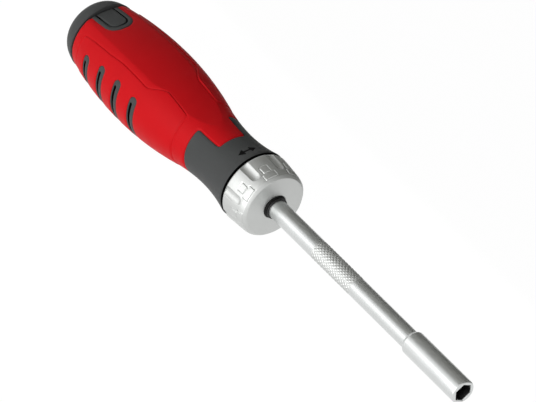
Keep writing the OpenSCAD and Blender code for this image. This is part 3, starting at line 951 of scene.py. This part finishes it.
@dataclass
class Grip:
    """The red skin, and the grey core with the arrow on its collar.

    A lip is the width and the depth of a rounded edge.
    """

    step: float = 0.45
    near: float = 0.36
    edge: float = 0.09
    gap: float = 0.25
    past: float = 0.4
    overlap: float = 0.2
    skin_lip: PAIR = (0.75, 0.4)
    slot_lip: PAIR = (0.4, 0.22)
    slot_reach: float = 1.0
    slot_band: PAIR = (53.0, 125.0)
    column_counts: tuple[int, ...] = (30, 1, 1, 11, 44, 26)
    top_wide: float = 0.8
    screw_s: float = 232.0
    screw_r: float = 2.45
    core_r: float = 12.1
    bore_r: float = 11.2
    neck_bore: float = 9.6
    tube_in: float = 0.6
    tube_front_r: float = 10.7
    tube_neck_r: float = 10.2
    throat: PAIR = (166.0, 172.0)
    collar_lip: PAIR = (0.6, 0.3)
    collar_before: float = 1.0
    collar_past: float = 0.3
    collar_band: PAIR = (45.0, 75.0)
    collar_turn: float = 0.03
    rib_low: float = 0.12
    rib_lip: PAIR = (0.5, 0.3)
    rib_past: float = 0.55
    rib_step: float = 0.2
    rib_turn: float = 0.016
    rib_reach: float = 0.15
    slit_half: float = 0.6
    slit_back: float = 0.7
    slit_late: float = 1.4
    bezel_high: float = 0.12
    bezel_lip: PAIR = (0.6, 0.35)
    bezel_before: float = 0.6
    bezel_step: float = 0.3
    bezel_reach: float = 0.22
    arrow_s: float = 141.2
    arrow_half: float = 4.1
    arrow_bar: float = 0.42
    arrow_inset: float = 1.6
    arrow_head: float = 2.7
    arrow_slope: float = 0.68
    arrow_high: float = 0.03
    arrow_room: PAIR = (1.6, 0.34)
    arrow_step: PAIR = (0.1, 0.0075)
    arrow_scale: float = 14.6
    arrow_reach: float = 0.07
    button_room: PAIR = (4.0, 7.0)
    seam_deep: float = 0.5
    slit_deep: float = 1.0

    def columns(self, s: float) -> list[float]:
        """Angles of the skin's grid, close at the slots and with a line along the panels' edge.

        Args:
            s: Station.

        Returns:
            The angles from the top, on both sides.
        """
        line = FORM.groove_angle(s)
        near = self.near / FORM.wave(s)
        marks = [0.0, line - near, line, line + near, *map(math.radians, self.slot_band), math.pi]
        half = [0.0]
        for low, high, count in zip(marks, marks[1:], self.column_counts):
            half += spaced(low, high, count)
        return both_sides(half)

    def skin_trim(self, s: float, angle: float) -> float:
        """Distance beyond the red skin.

        Args:
            s: Station.
            angle: Angle from the top.

        Returns:
            The distance, below 0 on the skin.
        """
        y = FORM.wave(s) * math.sin(angle)
        d = max(FORM.red(s, angle), -FORM.slot(s, angle, 0.0, FORM.slot_half), s - FORM.grip_end)
        if abs(angle) < self.top_wide:
            d = max(d, -BUTTON.outline(s, y, BUTTON.surround + self.edge))
        hole = math.hypot(s - self.screw_s, (math.pi - abs(angle)) * FORM.wave(s)) - self.screw_r
        return max(d, -hole)

    def skin_place(self, s: float, angle: float, d: float) -> Vector:
        """Point of the red skin, with its facet, panels and groove lines.

        Args:
            s: Station.
            angle: Angle from the top.
            d: Distance beyond the skin's outline.

        Returns:
            The point.
        """
        edge = FORM.panel(s, angle)
        blend = FORM.panel_blend
        radius = FORM.wave(s) - FORM.panel_step * smooth(s, *FORM.panel_fade) * ramp(edge, -blend, blend)
        if edge > -2 * blend:
            radius = min(radius, FORM.facet_radius(s, angle))
        radius -= FORM.groove_deep * max(0.0, 1 - abs(edge) / FORM.groove_half)
        at_slot = FORM.slot(s, angle, 0.0, FORM.slot_half) < self.slot_reach
        return axis_point(s, angle, radius - lip(d, *(self.slot_lip if at_slot else self.skin_lip)))

    def build_skin(self) -> None:
        """Builds the red skin."""
        marks = [FORM.tongue_front - self.past, FORM.skirt]
        for end in (FORM.panel_front, FORM.panel_back):
            marks += [end - self.near, end, end + self.near]
        marks.append(FORM.grip_end)
        sheet = Sheet(steps(marks, self.step), self.columns, self.skin_place, self.skin_trim,
                      inward(FORM.skin), FORM.belly_r)
        piece(sheet.build(), "grip_skin", Body.HANDLE, [Slot.RED], ["grip_overmould"])

    def tube(self) -> bmesh.types.BMesh:
        """Makes the plain tube of the core, inside the skin.

        Returns:
            The tube.
        """
        front = FORM.collar + self.tube_in
        start, full = self.throat
        return lathe([(self.neck_bore, front), (self.tube_front_r, front), (self.tube_neck_r, start),
                      (self.core_r, full), (self.core_r, FORM.grip_end), (self.bore_r, FORM.grip_end),
                      (self.bore_r, full), (self.neck_bore, full - self.overlap), (self.neck_bore, front)])

    def collar_trim(self, s: float, angle: float) -> float:
        """Distance beyond the grey collar."""
        return max(self.edge * 2 - FORM.red(s, angle), FORM.collar + self.gap - s)

    def collar_place(self, s: float, angle: float, d: float) -> Vector:
        """Point of the grey collar."""
        return axis_point(s, angle, FORM.wave(s) - lip(d, *self.collar_lip))

    def collar(self) -> Sheet:
        """Lays out the grey collar.

        Returns:
            The collar's patch.
        """
        marks = [FORM.collar, FORM.tongue_front - self.collar_before, FORM.skirt + self.collar_past]
        half = steps([0.0, *map(math.radians, self.collar_band), math.pi], self.collar_turn)
        angles = both_sides(half)
        return Sheet(steps(marks, self.step), lambda s: angles, self.collar_place, self.collar_trim,
                     inward_to(self.neck_bore - self.overlap), FORM.neck_r)

    def rib_trim(self, s: float, angle: float) -> float:
        """Distance beyond the ribs in the slots."""
        outer = FORM.slot(s, angle, 0.0, FORM.slot_half - self.edge)
        return max(outer, -FORM.slot(s, angle, self.slit_back, self.slit_half, self.slit_late))

    def rib_place(self, s: float, angle: float, d: float) -> Vector:
        """Point of a rib."""
        return axis_point(s, angle, FORM.wave(s) - self.rib_low - lip(d, *self.rib_lip))

    def ribs(self) -> list[Sheet]:
        """Lays out the ribs in the slots.

        Returns:
            A patch for each slot, on both sides.
        """
        sheets = []
        room = FORM.slot_half + self.rib_past
        for index in range(FORM.first_slot, FORM.last_slot + 1):
            middle = FORM.belly_s + index * FORM.slot_pitch
            rows = steps([middle - room, middle + room], self.rib_step)
            low = FORM.slot_from(middle) - room / FORM.belly_r
            high = math.radians(FORM.slot_to) + room / FORM.belly_r
            for side in (-1, 1):
                across = [side * angle for angle in steps([low, high], self.rib_turn)]
                sheets.append(Sheet(rows, lambda s, line=across: line, self.rib_place, self.rib_trim,
                                    inward_to(self.core_r - self.overlap), FORM.belly_r, self.rib_reach))
        return sheets

    def bezel_trim(self, s: float, y: float) -> float:
        """Distance beyond the surround of the button."""
        hole = -BUTTON.outline(s, y, BUTTON.gap)
        return max(BUTTON.outline(s, y, BUTTON.surround), hole, s - FORM.grip_end)

    def bezel_place(self, s: float, y: float, d: float) -> Vector:
        """Point of the surround of the button."""
        return Vector((-s, y, FORM.top(s, y) + self.bezel_high - lip(d, *self.bezel_lip)))

    def bezel(self) -> Sheet:
        """Lays out the surround of the button.

        Returns:
            The surround's patch.
        """
        front = BUTTON.front - BUTTON.surround - self.bezel_before
        wide = BUTTON.half + BUTTON.surround + self.past
        across = steps([-wide, 0.0, wide], self.bezel_step)
        return Sheet(steps([front, FORM.grip_end], self.bezel_step), lambda s: across, self.bezel_place,
                     self.bezel_trim, down_to(self.core_r - 2 * self.overlap), 1.0, self.bezel_reach)

    def arrow_trim(self, s: float, angle: float) -> float:
        """Distance beyond the double-headed arrow.

        Args:
            s: Station.
            angle: Angle from the top.

        Returns:
            The distance, below 0 on the arrow.
        """
        along = abs(angle) * FORM.wave(self.arrow_s)
        off = abs(s - self.arrow_s)
        bar = max(off - self.arrow_bar, along - self.arrow_half + self.arrow_inset)
        tip = self.arrow_half - along
        head = max(off - self.arrow_slope * tip, tip - self.arrow_head)
        return min(bar, head)

    def arrow_place(self, s: float, angle: float, d: float) -> Vector:
        """Point of the arrow."""
        return axis_point(s, angle, FORM.wave(s) + self.arrow_high)

    def arrow(self) -> Sheet:
        """Lays out the arrow on the collar.

        Returns:
            The arrow's patch.
        """
        room, turn = self.arrow_room
        fine, fine_turn = self.arrow_step
        rows = steps([self.arrow_s - room, self.arrow_s, self.arrow_s + room], fine)
        across = steps([-turn, 0.0, turn], fine_turn)
        return Sheet(rows, lambda s: across, self.arrow_place, self.arrow_trim, inward(self.overlap),
                     self.arrow_scale, self.arrow_reach)

    def is_deep(self, point: Vector) -> bool:
        """Tells whether a point of the core is well below the handle's outside, where its face gets black
        plastic as painted shade.

        Args:
            point: The point.

        Returns:
            True in the slits, the seams around the button and the bore.
        """
        s = -point.x
        before, wide = self.button_room
        if s > BUTTON.front - before and point.z > 0 and abs(point.y) < wide:
            return point.z < FORM.top(s, point.y) - self.seam_deep
        return math.hypot(point.y, point.z) < FORM.wave(s) - self.slit_deep

    def build_core(self) -> None:
        """Builds the grey core with its collar, ribs, button surround and arrow, with painted shade in black
        plastic deep in its slits, seams and bore.
        """
        core = self.tube()
        for sheet in (self.collar(), *self.ribs(), self.bezel()):
            absorb(core, sheet.build())
        absorb(core, self.arrow().build(), 1)
        # Faces deep in the slits, the button's seams and the bore take black plastic: painted shade.
        for face in core.faces:
            if self.is_deep(face.calc_center_median()):
                face.material_index = 1
        piece(core, "grip_body", Body.HANDLE, [Slot.GREY, Slot.PLASTIC], ["grip_core"])

    def build(self) -> None:
        """Builds all pieces of the grip."""
        self.build_skin()
        self.build_core()


@dataclass
class Selector:
    """The metal direction ring with its scoops and pads, and the rings next to it.

    A pad is half its width, the station of its middle and half its length. The clip
    and the washer are a bore, an outer radius, a front and a back.
    """

    front: float = 123.1
    back: float = 135.3
    face: float = 121.7
    outer: float = 15.3
    rim: float = 14.1
    bevel: float = 1.1
    bore: float = 12.36
    bore_in: float = 2.3
    face_thick: float = 2.2
    face_edge: PAIR = (0.3, 0.2)
    rear_edge: PAIR = (0.25, 0.5)
    barrel: tuple[PAIR, ...] = ((0.8, 1.8), (0.4, 6.1), (0.1, 9.8))
    corner: float = 0.25
    flank_step: float = 0.16
    face_step: float = 0.8
    plain: PAIR = (0.1, 0.05)
    turns: int = 720
    sharp: float = 26.0
    scoops: int = 8
    scoop_r: float = 3.0
    scoop_s: float = 127.6
    scoop_at: float = 17.0
    scoop_lean: float = 3.0
    rear_pad: TRIO = (1.55, 128.2, 1.6)
    fore_pad: TRIO = (2.6, 124.85, 1.4)
    pad_shift: float = 0.65
    pad_corner: float = 0.4
    pad_high: float = 0.16
    pad_blend: float = 0.1
    line_at: float = 0.16
    line_half: float = 0.26
    line_deep: float = 0.2
    seal_r: float = 4.95
    seal_bore: float = 4.06
    seal_outer: PAIR = (4.72, 4.93)
    seal_s: TRIO = (121.1, 121.5, 123.7)
    seal_corner: float = 0.14
    clip: tuple[float, ...] = (3.6, 4.6, 120.2, 120.9)
    clip_corner: float = 0.12
    washer: tuple[float, ...] = (12.35, 14.3, 135.45, 136.27)
    washer_corner: float = 0.15

    def outline(self) -> list[PAIR]:
        """Lays out the ring, from the face round to the bore.

        Returns:
            The closed outline, with points close together on the flank.
        """
        face_r, face_s = self.face_edge
        rear_r, rear_s = self.rear_edge
        points = [(self.seal_r, self.face + face_s), (self.seal_r + face_r, self.face),
                  (self.rim - self.bevel, self.front - self.bevel), (self.rim, self.front)]
        points += [(self.outer - inset, self.front + along) for inset, along in self.barrel]
        points += [(self.outer, self.back - rear_s), (self.outer - rear_r, self.back), (self.bore, self.back)]
        flank = rounded(points, self.corner)
        fine = [flank[0]]
        for (r0, s0), (r1, s1) in zip(flank, flank[1:]):
            size = self.flank_step if s1 > self.front else self.face_step
            count = max(1, math.ceil(math.hypot(r1 - r0, s1 - s0) / size))
            fine += zip(spaced(r0, r1, count), spaced(s0, s1, count))
        inner = [(self.bore, self.front + self.bore_in), (self.seal_r, self.face + self.face_thick)]
        return fine + inner + [flank[0]]

    def scooped(self, s: float, angle: float, radius: float) -> float:
        """Cuts the scoops into the flank.

        Args:
            s: Station.
            angle: Angle from the top.
            radius: Radius of the plain flank.

        Returns:
            The radius after the cut.
        """
        step = math.tau / self.scoops
        off = (angle / step - math.floor(angle / step) - 0.5) * step
        ahead = self.scoop_s - s
        reach = self.scoop_r ** 2 - max(0.0, ahead) ** 2
        centre = self.scoop_at + max(0.0, -ahead) * math.tan(math.radians(self.scoop_lean))
        room = reach - (centre * math.sin(off)) ** 2
        if reach <= 0 or room <= 0:
            return radius
        return min(radius, centre * math.cos(off) - math.sqrt(room))

    def padded(self, s: float, angle: float, radius: float) -> float:
        """Raises the staggered pads on the flank, with a line around them.

        Args:
            s: Station.
            angle: Angle from the top.
            radius: Radius of the scooped flank.

        Returns:
            The radius with the pads.
        """
        step = math.tau / self.scoops
        off = (angle / step - math.floor(angle / step + 0.5)) * step * radius + self.pad_shift
        edge = min(box_corner(abs(off) - half, abs(s - middle) - length, self.pad_corner)
                   for half, middle, length in (self.rear_pad, self.fore_pad))
        line = max(0.0, 1 - abs(edge - self.line_at) / self.line_half)
        raised = self.pad_high * ramp(-edge, -self.pad_blend, self.pad_blend)
        return radius + raised - self.line_deep * line

    def build_ring(self) -> None:
        """Builds the ring."""
        rows = self.outline()
        flank = range(1, len(rows) - 3)
        low = self.front + self.plain[0]
        high = self.back - self.plain[1]

        def place(row: int, col: int) -> Vector:
            """Point of the ring.

            Args:
                row: Row of the outline.
                col: Step round the axis.

            Returns:
                The point.
            """
            radius, s = rows[row]
            angle = math.tau * col / self.turns
            if row in flank and low < s < high:
                radius = self.padded(s, angle, self.scooped(s, angle, radius))
            return axis_point(s, angle, radius)

        bm = surface(len(rows), self.turns + 1, place)
        bmesh.ops.recalc_face_normals(bm, faces=bm.faces)
        piece(bm, "direction_ring", Body.SELECTOR, [Slot.SATIN], ["selector_ring"], self.sharp)

    def build_seal(self) -> None:
        """Builds the rubber seal, the clip in front of it and the washer behind the ring."""
        small, large = self.seal_outer
        front, shoulder, back = self.seal_s
        seal = [(self.seal_bore, front), (small, front), (small, shoulder), (large, shoulder), (large, back),
                (self.seal_bore, back)]
        piece(band(seal, self.seal_corner), "shaft_seal", Body.SELECTOR, [Slot.RUBBER], ["dust_seal"])
        clip = band(flat_band(*self.clip), self.clip_corner)
        piece(clip, "shaft_clip", Body.BLADE, [Slot.BLACKENED], ["front_clip"])
        washer = band(flat_band(*self.washer), self.washer_corner)
        piece(washer, "ring_washer", Body.HANDLE, [Slot.PLASTIC], ["gap_washer"])

    def build(self) -> None:
        """Builds the ring and the seal."""
        self.build_ring()
        self.build_seal()


@dataclass
class Blade:
    """The knurled shaft and the hex socket."""

    radius: float = 4.0
    shaft_front: float = 18.1
    shaft_back: float = 159.8
    shaft_marks: PAIR = (40.0, 118.0)
    shaft_step: float = 9.0
    shaft_sharp: float = 50.0
    journal_s: float = 134.0
    journal_r: float = 3.2
    journal_edge: float = 0.01
    knurl_front: float = 67.6
    knurl_back: float = 92.4
    knurl_edge: float = 0.1
    knurl_fade: float = 0.9
    knurl_step: float = 0.125
    knurl_pitch: float = 1.9
    knurl_deep: float = 0.16
    knurl_high: float = 0.06
    knurl_flat: float = 0.85
    starts: int = 16
    start_turns: int = 12
    socket_r: float = 5.0
    socket_len: float = 30.0
    socket_turns: int = 192
    socket_sharp: float = 35.0
    face_in: PAIR = (0.75, 0.45)
    nose: float = 0.5
    shoulder: float = 1.7
    foot: PAIR = (0.3, 2.9)
    sleeve: PAIR = (0.02, 3.05)
    seat: float = 4.6
    corner: float = 0.25
    hex_r: float = 3.736
    hex_flare: float = 0.75
    well_r: float = 2.95
    well: float = 3.2
    depth: float = 13.5
    chamfer: float = 0.4

    def shaft_radius(self, s: float) -> float:
        """Radius of the plain shaft at a station."""
        return self.journal_r if s > self.journal_s else self.radius

    def knurl(self, s: float, angle: float) -> float:
        """Height of the knurl's diamonds.

        Args:
            s: Station.
            angle: Angle from the top.

        Returns:
            The height above the plain shaft.
        """
        around = self.starts * angle / 2
        along = math.pi * (s - self.knurl_front) / self.knurl_pitch
        crest = min(abs(math.sin(around + along)), abs(math.sin(around - along)), self.knurl_flat)
        start = smooth(s, self.knurl_front, self.knurl_front + self.knurl_fade)
        end = smooth(-s, -self.knurl_back, self.knurl_fade - self.knurl_back)
        return min(start, end) * (self.knurl_high - self.knurl_deep * (1 - crest / self.knurl_flat))

    def build_shaft(self) -> None:
        """Builds the shaft, with a rougher plate on its knurl band whose darker tone is painted shade."""
        fore, aft = self.shaft_marks
        rows = steps([self.shaft_front, fore, self.knurl_front - self.knurl_edge], self.shaft_step)
        rows += steps([self.knurl_front, self.knurl_back], self.knurl_step)
        rows += steps([self.knurl_back + self.knurl_edge, aft, self.journal_s - self.journal_edge,
                       self.journal_s + self.journal_edge, self.shaft_back], self.shaft_step)
        turns = self.starts * self.start_turns

        def place(row: int, col: int) -> Vector:
            """Point of the shaft.

            Args:
                row: Row along the shaft.
                col: Step round the axis.

            Returns:
                The point.
            """
            s = rows[row]
            angle = math.tau * col / turns
            return axis_point(s, angle, self.shaft_radius(s) + self.knurl(s, angle))

        bm = surface(len(rows), turns + 1, place)
        bmesh.ops.holes_fill(bm, edges=open_edges(bm), sides=0)
        bmesh.ops.recalc_face_normals(bm, faces=bm.faces)
        # The knurl band takes the rougher satin plate; its darker tone is painted shade of the knurl's
        # grooves.
        for face in bm.faces:
            face.material_index = int(self.knurl_front < -face.calc_center_median().x < self.knurl_back)
        piece(bm, "knurled_shaft", Body.BLADE, [Slot.SHAFT, Slot.SATIN], ["blade_shaft"], self.shaft_sharp)

    def socket_rows(self) -> list[tuple[float, float, bool]]:
        """Lays out the socket, from the face round the outside to the hex hole.

        Returns:
            Radius and station of each row, and whether the row is a hexagon.
        """
        inner, outer = self.face_in
        foot_high, foot_back = self.foot
        sleeve_high, sleeve_back = self.sleeve
        sleeve_r = self.radius + sleeve_high
        outside = rounded([(self.socket_r - inner, 0.0), (self.socket_r - outer, 0.0),
                           (self.socket_r, self.nose), (self.socket_r, self.socket_len + self.shoulder),
                           (self.radius + foot_high, self.socket_len + foot_back),
                           (sleeve_r, self.socket_len + sleeve_back),
                           (sleeve_r, self.depth + self.seat)], self.corner)
        rows = [(r, s, False) for r, s in outside]
        rows += [(self.well_r, self.depth + self.well, False), (self.well_r, self.depth, False)]
        rows += [(self.hex_r, self.depth, True), (self.hex_r, self.chamfer, True)]
        return rows + [(self.hex_r + self.hex_flare * self.chamfer, 0.0, True), rows[0]]

    def build_socket(self) -> None:
        """Builds the socket with its hex hole."""
        rows = self.socket_rows()
        turns = self.socket_turns
        side = math.pi / 3

        def place(row: int, col: int) -> Vector:
            """Point of the socket.

            Args:
                row: Row of the outline.
                col: Step round the axis.

            Returns:
                The point.
            """
            radius, s, hexed = rows[row]
            angle = math.tau * (col % turns) / turns
            if hexed:
                radius *= math.cos(side / 2) / math.cos(angle % side - side / 2)
            return axis_point(s, angle, radius)

        bm = surface(len(rows), turns + 1, place)
        bmesh.ops.recalc_face_normals(bm, faces=bm.faces)
        for face in bm.faces:
            middle = face.calc_center_median()
            inside = math.hypot(middle.y, middle.z) < self.hex_r and middle.x < -self.chamfer
            face.material_index = int(inside)
        piece(bm, "hex_socket", Body.BLADE, [Slot.SHAFT, Slot.BLACKENED], ["bit_socket"], self.socket_sharp)

    def build(self) -> None:
        """Builds the shaft and the socket."""
        self.build_shaft()
        self.build_socket()


@dataclass
class Rear:
    """The release button and the cap of the magazine.

    The dome is points of the cap: how far in from the rim, and how far before the tail.
    """

    shelf: float = 13.9
    key_high: float = 0.1
    key_lip: PAIR = (0.7, 0.25)
    key_less: float = 0.12
    key_before: float = 0.3
    key_half: float = 4.0
    key_step: float = 0.22
    key_reach: float = 0.16
    cap_front: float = 241.0
    cap_edge: float = 0.35
    cap_round: float = 1.2
    cap_floor: float = 4.75
    cap_turns: int = 144
    bore_r: float = 11.14
    dome: tuple[PAIR, ...] = ((0.55, 6.5), (1.15, 4.6), (2.2, 2.8), (3.6, 1.4), (5.5, 0.6), (9.0, 0.15))

    def button_place(self, s: float, y: float, d: float) -> Vector:
        """Point of the button's top."""
        return Vector((-s, y, FORM.top(s, y) + self.key_high - lip(d, *self.key_lip)))

    def button_trim(self, s: float, y: float) -> float:
        """Distance beyond the button."""
        return max(BUTTON.outline(s, y, -self.key_less), s - BUTTON.back)

    def build_button(self) -> None:
        """Builds the button."""
        rows = steps([BUTTON.front - self.key_before, BUTTON.back], self.key_step)
        across = steps([-self.key_half, 0.0, self.key_half], self.key_step)
        sheet = Sheet(rows, lambda s: across, self.button_place, self.button_trim, down_to(self.shelf),
                      1.0, self.key_reach)
        piece(sheet.build(), "release_key", Body.BUTTON, [Slot.GREY], ["release_button"])

    def build_cap(self) -> None:
        """Builds the cap."""
        rim = FORM.wave(self.cap_front)
        floor = FORM.tail - self.cap_floor
        points = [(self.bore_r, self.cap_front), (rim - self.cap_edge, self.cap_front),
                  (rim, self.cap_front + self.cap_edge)]
        points += [(rim - inset, FORM.tail - before) for inset, before in self.dome]
        profile = rounded(points + [(0.0, FORM.tail)], self.cap_round)
        profile += [(0.0, floor), (self.bore_r, floor), profile[0]]
        piece(lathe(profile, self.cap_turns), "rear_cap", Body.MAGAZINE, [Slot.GREY], ["magazine_cap"])

    def build(self) -> None:
        """Builds the button and the cap."""
        self.build_button()
        self.build_cap()


@dataclass
class Works:
    """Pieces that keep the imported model's shape, smoothed or as they are."""

    sharp: float = 32.0

    def smooth_copy(self, node: str, body: Body, slot: Slot) -> None:
        """Replaces a node by a copy with merged points and smooth shading.

        Args:
            node: Name of the node.
            body: Body that it rides on.
            slot: Its material slot.
        """
        bm = bmesh.new()
        bm.from_mesh(frame["nodes"][node].data)
        bmesh.ops.remove_doubles(bm, verts=bm.verts, dist=1e-6)
        bmesh.ops.scale(bm, vec=(1 / MM, 1 / MM, 1 / MM), verts=bm.verts)
        for face in bm.faces:
            face.material_index = 0
        piece(bm, node + "_smooth", body, [slot], [node], self.sharp)

    def dress(self, node: str, slot: Slot) -> None:
        """Gives a node its finish.

        Args:
            node: Name of the node.
            slot: Its material slot.
        """
        for holder in frame["nodes"][node].material_slots:
            holder.material = PAINTS.get(slot)
        LOG.info("%s: %s", node, slot.value)

    def build(self) -> None:
        """Dresses every node that no other piece stands for."""
        groups = frame["record"]["behaviour"]["bodies"]
        bodies = {node: Body(name) for name, nodes in groups.items() for node in nodes}
        slots = {part["node"]: Slot(part["material_slot"]) for part in frame["record"]["subparts"]}
        for node, holder in frame["nodes"].items():
            if holder.hide_render:
                continue
            if bodies[node] is Body.MAGAZINE:
                self.smooth_copy(node, bodies[node], slots[node])
            else:
                self.dress(node, slots[node])


@dataclass
class Studio:
    """Camera, floor, lights and surroundings.

    Lamps and cards are placed and sized in metres.
    """

    roll: float = 44.65
    tilt: float = 37.0
    turn: float = 33.0
    focal: float = 5300.0
    width: float = 536.0
    sensor: float = 36.0
    distance: float = 2025.0
    aim: float = -125.1
    shift_x: float = 2.1
    shift_y: float = 0.9
    nearest: float = 0.1
    farthest: float = 20.0
    floor_z: float = -19.2
    floor_x: float = -0.12
    floor_half: float = 4.0
    floor_tone: COLOUR = (0.82, 0.82, 0.82)
    floor_glow: float = 1.04
    floor_share: float = 0.95
    world_light: float = 0.34
    key_at: TRIO = (-0.75, -0.2, 0.75)
    key_size: float = 1.0
    key_power: float = 11.0
    sheen_turn: float = 24.0
    sheen_size: float = 0.45
    sheen_power: float = 0.55
    card_tone: COLOUR = (0.42, 0.42, 0.4)
    side_lean: PAIR = (-0.35, 0.42)
    side_away: float = 0.55
    side_half: float = 0.72
    low_card_y: float = 0.5
    low_card_up: float = 0.002
    low_card_half: float = 0.44

    @property
    def middle(self) -> Vector:
        """Point that the camera and the lamps aim at, in metres."""
        return Vector((self.aim * MM, 0, 0))

    def square(self) -> tuple[Vector, Vector]:
        """Directions square to the tool's axis.

        Returns:
            The one that faces the camera and the one across the view.
        """
        turn = math.radians(self.turn)
        facing = Vector((0, -math.sin(turn), math.cos(turn)))
        return facing, Vector((0, math.cos(turn), math.sin(turn)))

    def axes(self) -> tuple[Vector, Vector, Vector]:
        """Directions of the camera.

        Returns:
            Those to its right, up and back.
        """
        tilt = math.radians(self.tilt)
        roll = math.radians(self.roll)
        facing, across = self.square()
        back = math.cos(tilt) * facing + math.sin(tilt) * AXIS
        along = math.cos(tilt) * AXIS - math.sin(tilt) * facing
        right = math.cos(roll) * along + math.sin(roll) * across
        up = -math.sin(roll) * along + math.cos(roll) * across
        return right, up, back

    def set_camera(self) -> None:
        """Puts the camera at the photograph's viewing angle."""
        right, up, back = self.axes()
        scale = self.distance / self.focal
        eye = Vector((self.aim, 0, 0)) + back * self.distance
        eye += up * (self.shift_y * scale) - right * (self.shift_x * scale)
        data = bpy.data.cameras.new("camera")
        data.sensor_width = self.sensor
        data.lens = self.focal * self.sensor / self.width
        data.clip_start = self.nearest
        data.clip_end = self.farthest
        camera = bpy.data.objects.new("camera", data)
        turn = Matrix((right, up, back)).transposed().to_4x4()
        camera.matrix_world = Matrix.Translation(eye * MM) @ turn
        bpy.context.scene.collection.objects.link(camera)
        bpy.context.scene.camera = camera

    def furnish(self, bm: bmesh.types.BMesh, name: str, material: bpy.types.Material) -> bpy.types.Object:
        """Turns a mesh in metres into a piece of the studio.

        Args:
            bm: The mesh, which is freed.
            name: Name of the piece.
            material: Its material.

        Returns:
            The new object.
        """
        mesh = bpy.data.meshes.new(name)
        bm.to_mesh(mesh)
        bm.free()
        mesh.materials.append(material)
        obj = bpy.data.objects.new(name, mesh)
        bpy.context.scene.collection.objects.link(obj)
        return obj

    def seen(self, graph: Graph) -> Sock:
        """Adds a mask of the rays that show the white surroundings.

        Args:
            graph: Graph that the mask is for.

        Returns:
            The mask.
        """
        camera, glossy, through = [graph.add("ShaderNodeLightPath", None, None, name)
                                   for name in ("Is Camera Ray", "Is Glossy Ray", "Is Transmission Ray")]
        return camera.larger(glossy).larger(through)

    def set_floor(self) -> None:
        """Builds the pale floor."""
        bm = bmesh.new()
        bmesh.ops.create_grid(bm, x_segments=4, y_segments=4, size=self.floor_half)
        bmesh.ops.translate(bm, vec=(self.floor_x, 0, self.floor_z * MM), verts=bm.verts)
        graph = Graph.material("floor_white")
        plain = graph.add("ShaderNodeBsdfDiffuse", None, {"Color": (*self.floor_tone, 1)})
        glow = graph.add("ShaderNodeEmission", None, {"Color": WHITE, "Strength": self.floor_glow})
        share = self.seen(graph) * self.floor_share
        mixed = graph.add("ShaderNodeMixShader", None, {0: share, 1: plain, 2: glow})
        self.furnish(bm, "floor", graph.close(mixed))

    def set_world(self) -> None:
        """Makes the surroundings white to the eye and a plain grey as a light."""
        world = bpy.data.worlds.new("studio")
        bpy.context.scene.world = world
        graph = Graph(world)
        mask = self.seen(graph)
        soft = graph.add("ShaderNodeBackground", None, {"Color": WHITE, "Strength": self.world_light})
        white = graph.add("ShaderNodeBackground", None, {"Color": WHITE, "Strength": 1.0})
        mixed = graph.add("ShaderNodeMixShader", None, {0: mask, 1: soft, 2: white})
        graph.add("ShaderNodeOutputWorld", None, {"Surface": mixed})

    def add_light(self, name: str, offset: Vector, size: float, power: float) -> bpy.types.Object:
        """Adds a soft square light aimed at the middle of the tool.

        Args:
            name: Name of the light.
            offset: Place from the middle.
            size: Side of the light.
            power: Power in watts.

        Returns:
            The light.
        """
        data = bpy.data.lights.new(name, "AREA")
        data.size = size
        data.energy = power
        light = bpy.data.objects.new(name, data)
        turn = offset.to_track_quat("Z", "Y").to_matrix().to_4x4()
        light.matrix_world = Matrix.Translation(self.middle + offset) @ turn
        bpy.context.scene.collection.objects.link(light)
        return light

    def set_lights(self) -> None:
        """Sets a large soft light at the left, and a small one that only shows as a sheen along the axis."""
        right, up, back = self.axes()
        x, y, z = self.key_at
        self.add_light("key", right * x + up * y + back * z, self.key_size, self.key_power)
        tilt = math.radians(self.tilt)
        lean = math.radians(self.sheen_turn)
        facing, across = self.square()
        mirrored = math.cos(lean) * facing - math.sin(lean) * across
        offset = math.cos(tilt) * mirrored - math.sin(tilt) * AXIS
        sheen = self.add_light("sheen", offset, self.sheen_size, self.sheen_power)
        sheen.visible_diffuse = False
        sheen.visible_camera = False

    def add_card(self, name: str, centre: Vector, facing: Vector, half: float) -> None:
        """Builds a dark card, which the camera doesn't see.

        Args:
            name: Name of the card.
            centre: Its middle.
            facing: Direction that it faces.
            half: Half its side.
        """
        bm = bmesh.new()
        bmesh.ops.create_grid(bm, x_segments=2, y_segments=2, size=half)
        turn = facing.to_track_quat("Z", "Y").to_matrix().to_4x4()
        bmesh.ops.transform(bm, matrix=Matrix.Translation(centre) @ turn, verts=bm.verts)
        graph = Graph.material(name + "_grey")
        plain = graph.add("ShaderNodeBsdfDiffuse", None, {"Color": (*self.card_tone, 1)})
        card = self.furnish(bm, name, graph.close(plain))
        card.visible_camera = False

    def set_cards(self) -> None:
        """Sets the dark cards at the right, one upright and one on the floor."""
        along, rise = self.side_lean
        side = self.square()[1] + along * AXIS + rise * self.axes()[2]
        self.add_card("side_card", self.middle + side * self.side_away, side, self.side_half)
        low = Vector((0, self.low_card_y, self.floor_z * MM + self.low_card_up))
        self.add_card("floor_card", self.middle + low, Vector((0, 0, 1)), self.low_card_half)

    def build(self) -> None:
        """Sets up the whole studio."""
        self.set_camera()
        self.set_cards()
        self.set_floor()
        self.set_world()
        self.set_lights()
        bpy.context.scene.view_settings.view_transform = "Standard"


def main() -> None:
    """Builds every piece and the studio."""
    logging.basicConfig(level=logging.INFO, format="%(name)s: %(message)s")
    for part in (Studio(), Grip(), Selector(), Blade(), Rear(), Works()):
        part.build()


if __name__ == "__main__":
    main()
